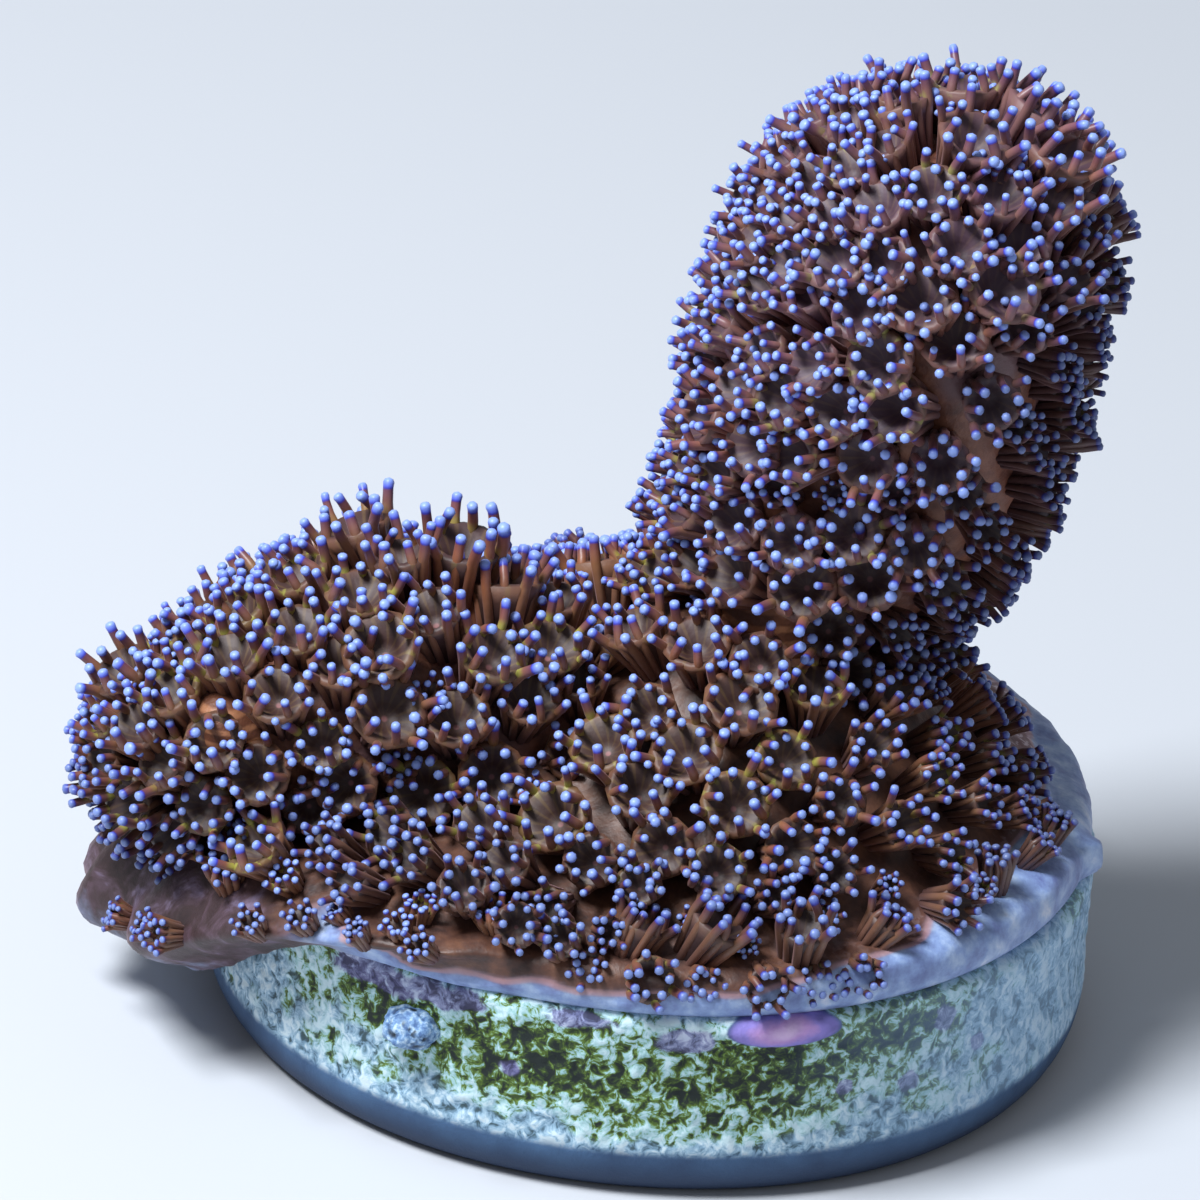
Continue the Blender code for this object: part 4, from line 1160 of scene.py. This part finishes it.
def speckled_crust():
    """Blue-white knobs with dark speckles in their pits."""
    net = Network("speckled_crust")
    knob = net.value("knob")
    fine = net.noise(6000, 3, 0.6)
    colour = net.ramp(fine, [(0.35, srgb(76, 108, 156)), (0.5, srgb(118, 154, 196)),
                             (0.68, srgb(190, 214, 234))])
    dark = net.times(net.step(knob, 0.62, 0.35), net.step(net.noise(3600, 2), 0.42, 0.52))
    colour = net.mix(dark, colour, srgb(30, 40, 52))
    net.bump(fine, 0.00005, 0.6)
    return net.finish(colour, 0.7)


# %% [markdown]
# ## Putting the colony together
#
# Every piece stands for the solid whose form it has. The tall branch and the base have the most tentacles,
# so their tubes are shared between two pieces each.

# %% Build the colony
TALL_POLYP, TALL_OPENNESS = 1.08 * POLYP_HEIGHT, 0.6  # the tall polyps of the two fans stay half closed
OPENNESS, SIZES = (0.8, 1.2), (0.92, 1.08)  # ranges
SHADED_CLOSING = 0.4
TILT_SPREAD = 0.14
flesh, column_skin, skin, margin = tentacle_flesh(), polyp_column(), coral_skin(), margin_skin()


def grow(name, node, feet, ways, heights, shaded):
    """Tentacles and cores of a group of polyps, each with its own turn and openness."""
    turn = random.uniform(0, 2 * math.pi, len(feet))
    tilted = unit(ways + random.normal(0, TILT_SPREAD, ways.shape))
    openness = random.uniform(*OPENNESS, len(feet)) * (1 - SHADED_CLOSING * shaded)
    openness = np.where(heights > TALL_POLYP, TALL_OPENNESS, 1) * openness
    mood = random.uniform(0, 1, len(feet))
    sizes = heights * random.uniform(*SIZES, len(feet))
    axes = frames(tilted, turn)
    points = tentacles(feet, axes, sizes, openness)
    tubes = repeated(TUBE, TUBE_POINTS, len(feet) * TENTACLES)
    values = tentacle_values(mood, shaded)
    new_piece(f"{name}_tentacles", points, tubes, flesh, [node], values)
    points, local = cores(feet, axes, sizes, openness)
    values = {"across": local[..., 0], "aside": local[..., 1], "level": local[..., 2],
              "mood": np.repeat(mood, local.shape[1]), "shaded": np.repeat(shaded, local.shape[1])}
    new_piece(f"{name}_polyps", points, repeated(CORE_TUBE, CORE_POINTS, len(feet)), column_skin,
              [node], values)


def part_of(group, chosen):
    """The chosen polyps' rows of each of the group's arrays."""
    return [values[chosen] for values in group]


right = colony["right_branch"]
upper = right[0][:, 2] > np.median(right[0][:, 2])
grow("right_branch_upper", "right_branch", *part_of(right, upper))
grow("right_branch_lower", "right_branch", *part_of(right, ~upper))
grow("left_branch", "left_branch", *colony["left_branch"])
base = colony["encrusting_base"]
behind = base[0][:, 1] > np.median(base[0][:, 1])
grow("base_front", "encrusting_base", *part_of(base, ~behind))
grow("base_back", "encrusting_base", *part_of(base, behind))
for node, branch in (("right_branch", RIGHT), ("left_branch", LEFT)):
    points, values = branch_tissue(branch)
    faces = tube_faces(TISSUE_RINGS, TISSUE_SIDES)
    new_piece(f"{node}_tissue", points, faces, skin, [node], values)
points, rings, values = base_tissue()
new_piece("base_tissue", points, tube_faces(rings, BASE_SIDES), margin, ["encrusting_base"],
          values)

# %% Build the disc
points, rings, values = disc_surface()
new_piece("crusted_disc", points, tube_faces(rings, DISC_SIDES), crusted_ceramic(),
          ["plug_disc"], values)
points, knob = nodule_surface()
new_piece("nodule", points, tube_faces(NODULE_RINGS, NODULE_SIDES), speckled_crust(),
          ["plug_disc"], {"knob": knob})

# %% [markdown]
# ## Floor, light and camera
#
# A pale floor, a soft lamp above on the left, a weak fill from the right and an even pale world. The camera
# looks 27 degrees down and is rolled a little. It stands far off with a long lens, so that near and far
# polyps keep their size.

# %% The stage
FLOOR_SIZE = 2.0
floor_mesh = bpy.data.meshes.new("floor")
corners = [(-1, -1, 0), (1, -1, 0), (1, 1, 0), (-1, 1, 0)]
floor_mesh.from_pydata([Vector(c) * FLOOR_SIZE / 2 for c in corners], [], [(0, 1, 2, 3)])
floor = bpy.data.objects.new("floor", floor_mesh)
bpy.context.scene.collection.objects.link(floor)
net = Network("pale_floor")
floor_mesh.materials.append(net.finish((*srgb(196, 199, 205), 1), 0.6))

# %% Lights and world
world = bpy.data.worlds.new("studio")
world.use_nodes = True
world.node_tree.nodes["Background"].inputs["Color"].default_value = (0.86, 0.92, 1.0, 1)
world.node_tree.nodes["Background"].inputs["Strength"].default_value = 0.29
bpy.context.scene.world = world
bpy.context.scene.view_settings.view_transform = "Standard"


def soft_lamp(name, place, aim, size, watts, colour):
    """A square area lamp at a place, turned to shine at a point."""
    data = bpy.data.lights.new(name, "AREA")
    data.size, data.energy, data.color = size, watts, colour
    lamp = bpy.data.objects.new(name, data)
    bpy.context.scene.collection.objects.link(lamp)
    lamp.location = place
    lamp.rotation_euler = (Vector(aim) - Vector(place)).to_track_quat("-Z", "Y").to_euler()


MIDDLE = (0, 0, 0.014)
soft_lamp("key_lamp", (-0.12, -0.075, 0.245), MIDDLE, 0.09, 1.32, (0.92, 0.96, 1.0))
soft_lamp("fill_lamp", (0.22, -0.16, 0.10), MIDDLE, 0.16, 0.02, (0.88, 0.93, 1.0))

# %% The camera
CAMERA_DISTANCE = 0.42
ELEVATION, ROLL = math.radians(27), math.radians(5)
PIXELS, PIXELS_PER_METRE = 1200, 35000
ORIGIN_PIXEL = np.array([640, 988])  # where the picture shows the origin
SENSOR = 36
view_up = np.array([0, math.sin(ELEVATION), math.cos(ELEVATION)])
image_right = np.array([math.cos(ROLL), 0, 0]) + math.sin(ROLL) * view_up
image_up = math.cos(ROLL) * view_up - np.array([math.sin(ROLL), 0, 0])
towards_camera = np.cross(image_right, image_up)
offset = (PIXELS / 2 - ORIGIN_PIXEL) / PIXELS_PER_METRE
aim = offset[0] * image_right - offset[1] * image_up
camera_data = bpy.data.cameras.new("camera")
camera_data.sensor_width = SENSOR
camera_data.lens = SENSOR * CAMERA_DISTANCE * PIXELS_PER_METRE / PIXELS
camera = bpy.data.objects.new("camera", camera_data)
bpy.context.scene.collection.objects.link(camera)
turned = Matrix(np.stack([image_right, image_up, towards_camera], axis=1).tolist()).to_4x4()
camera.matrix_world = Matrix.Translation(aim + towards_camera * CAMERA_DISTANCE) @ turned
bpy.context.scene.camera = camera
print(f"lens {camera_data.lens:.0f} mm at {CAMERA_DISTANCE} m")
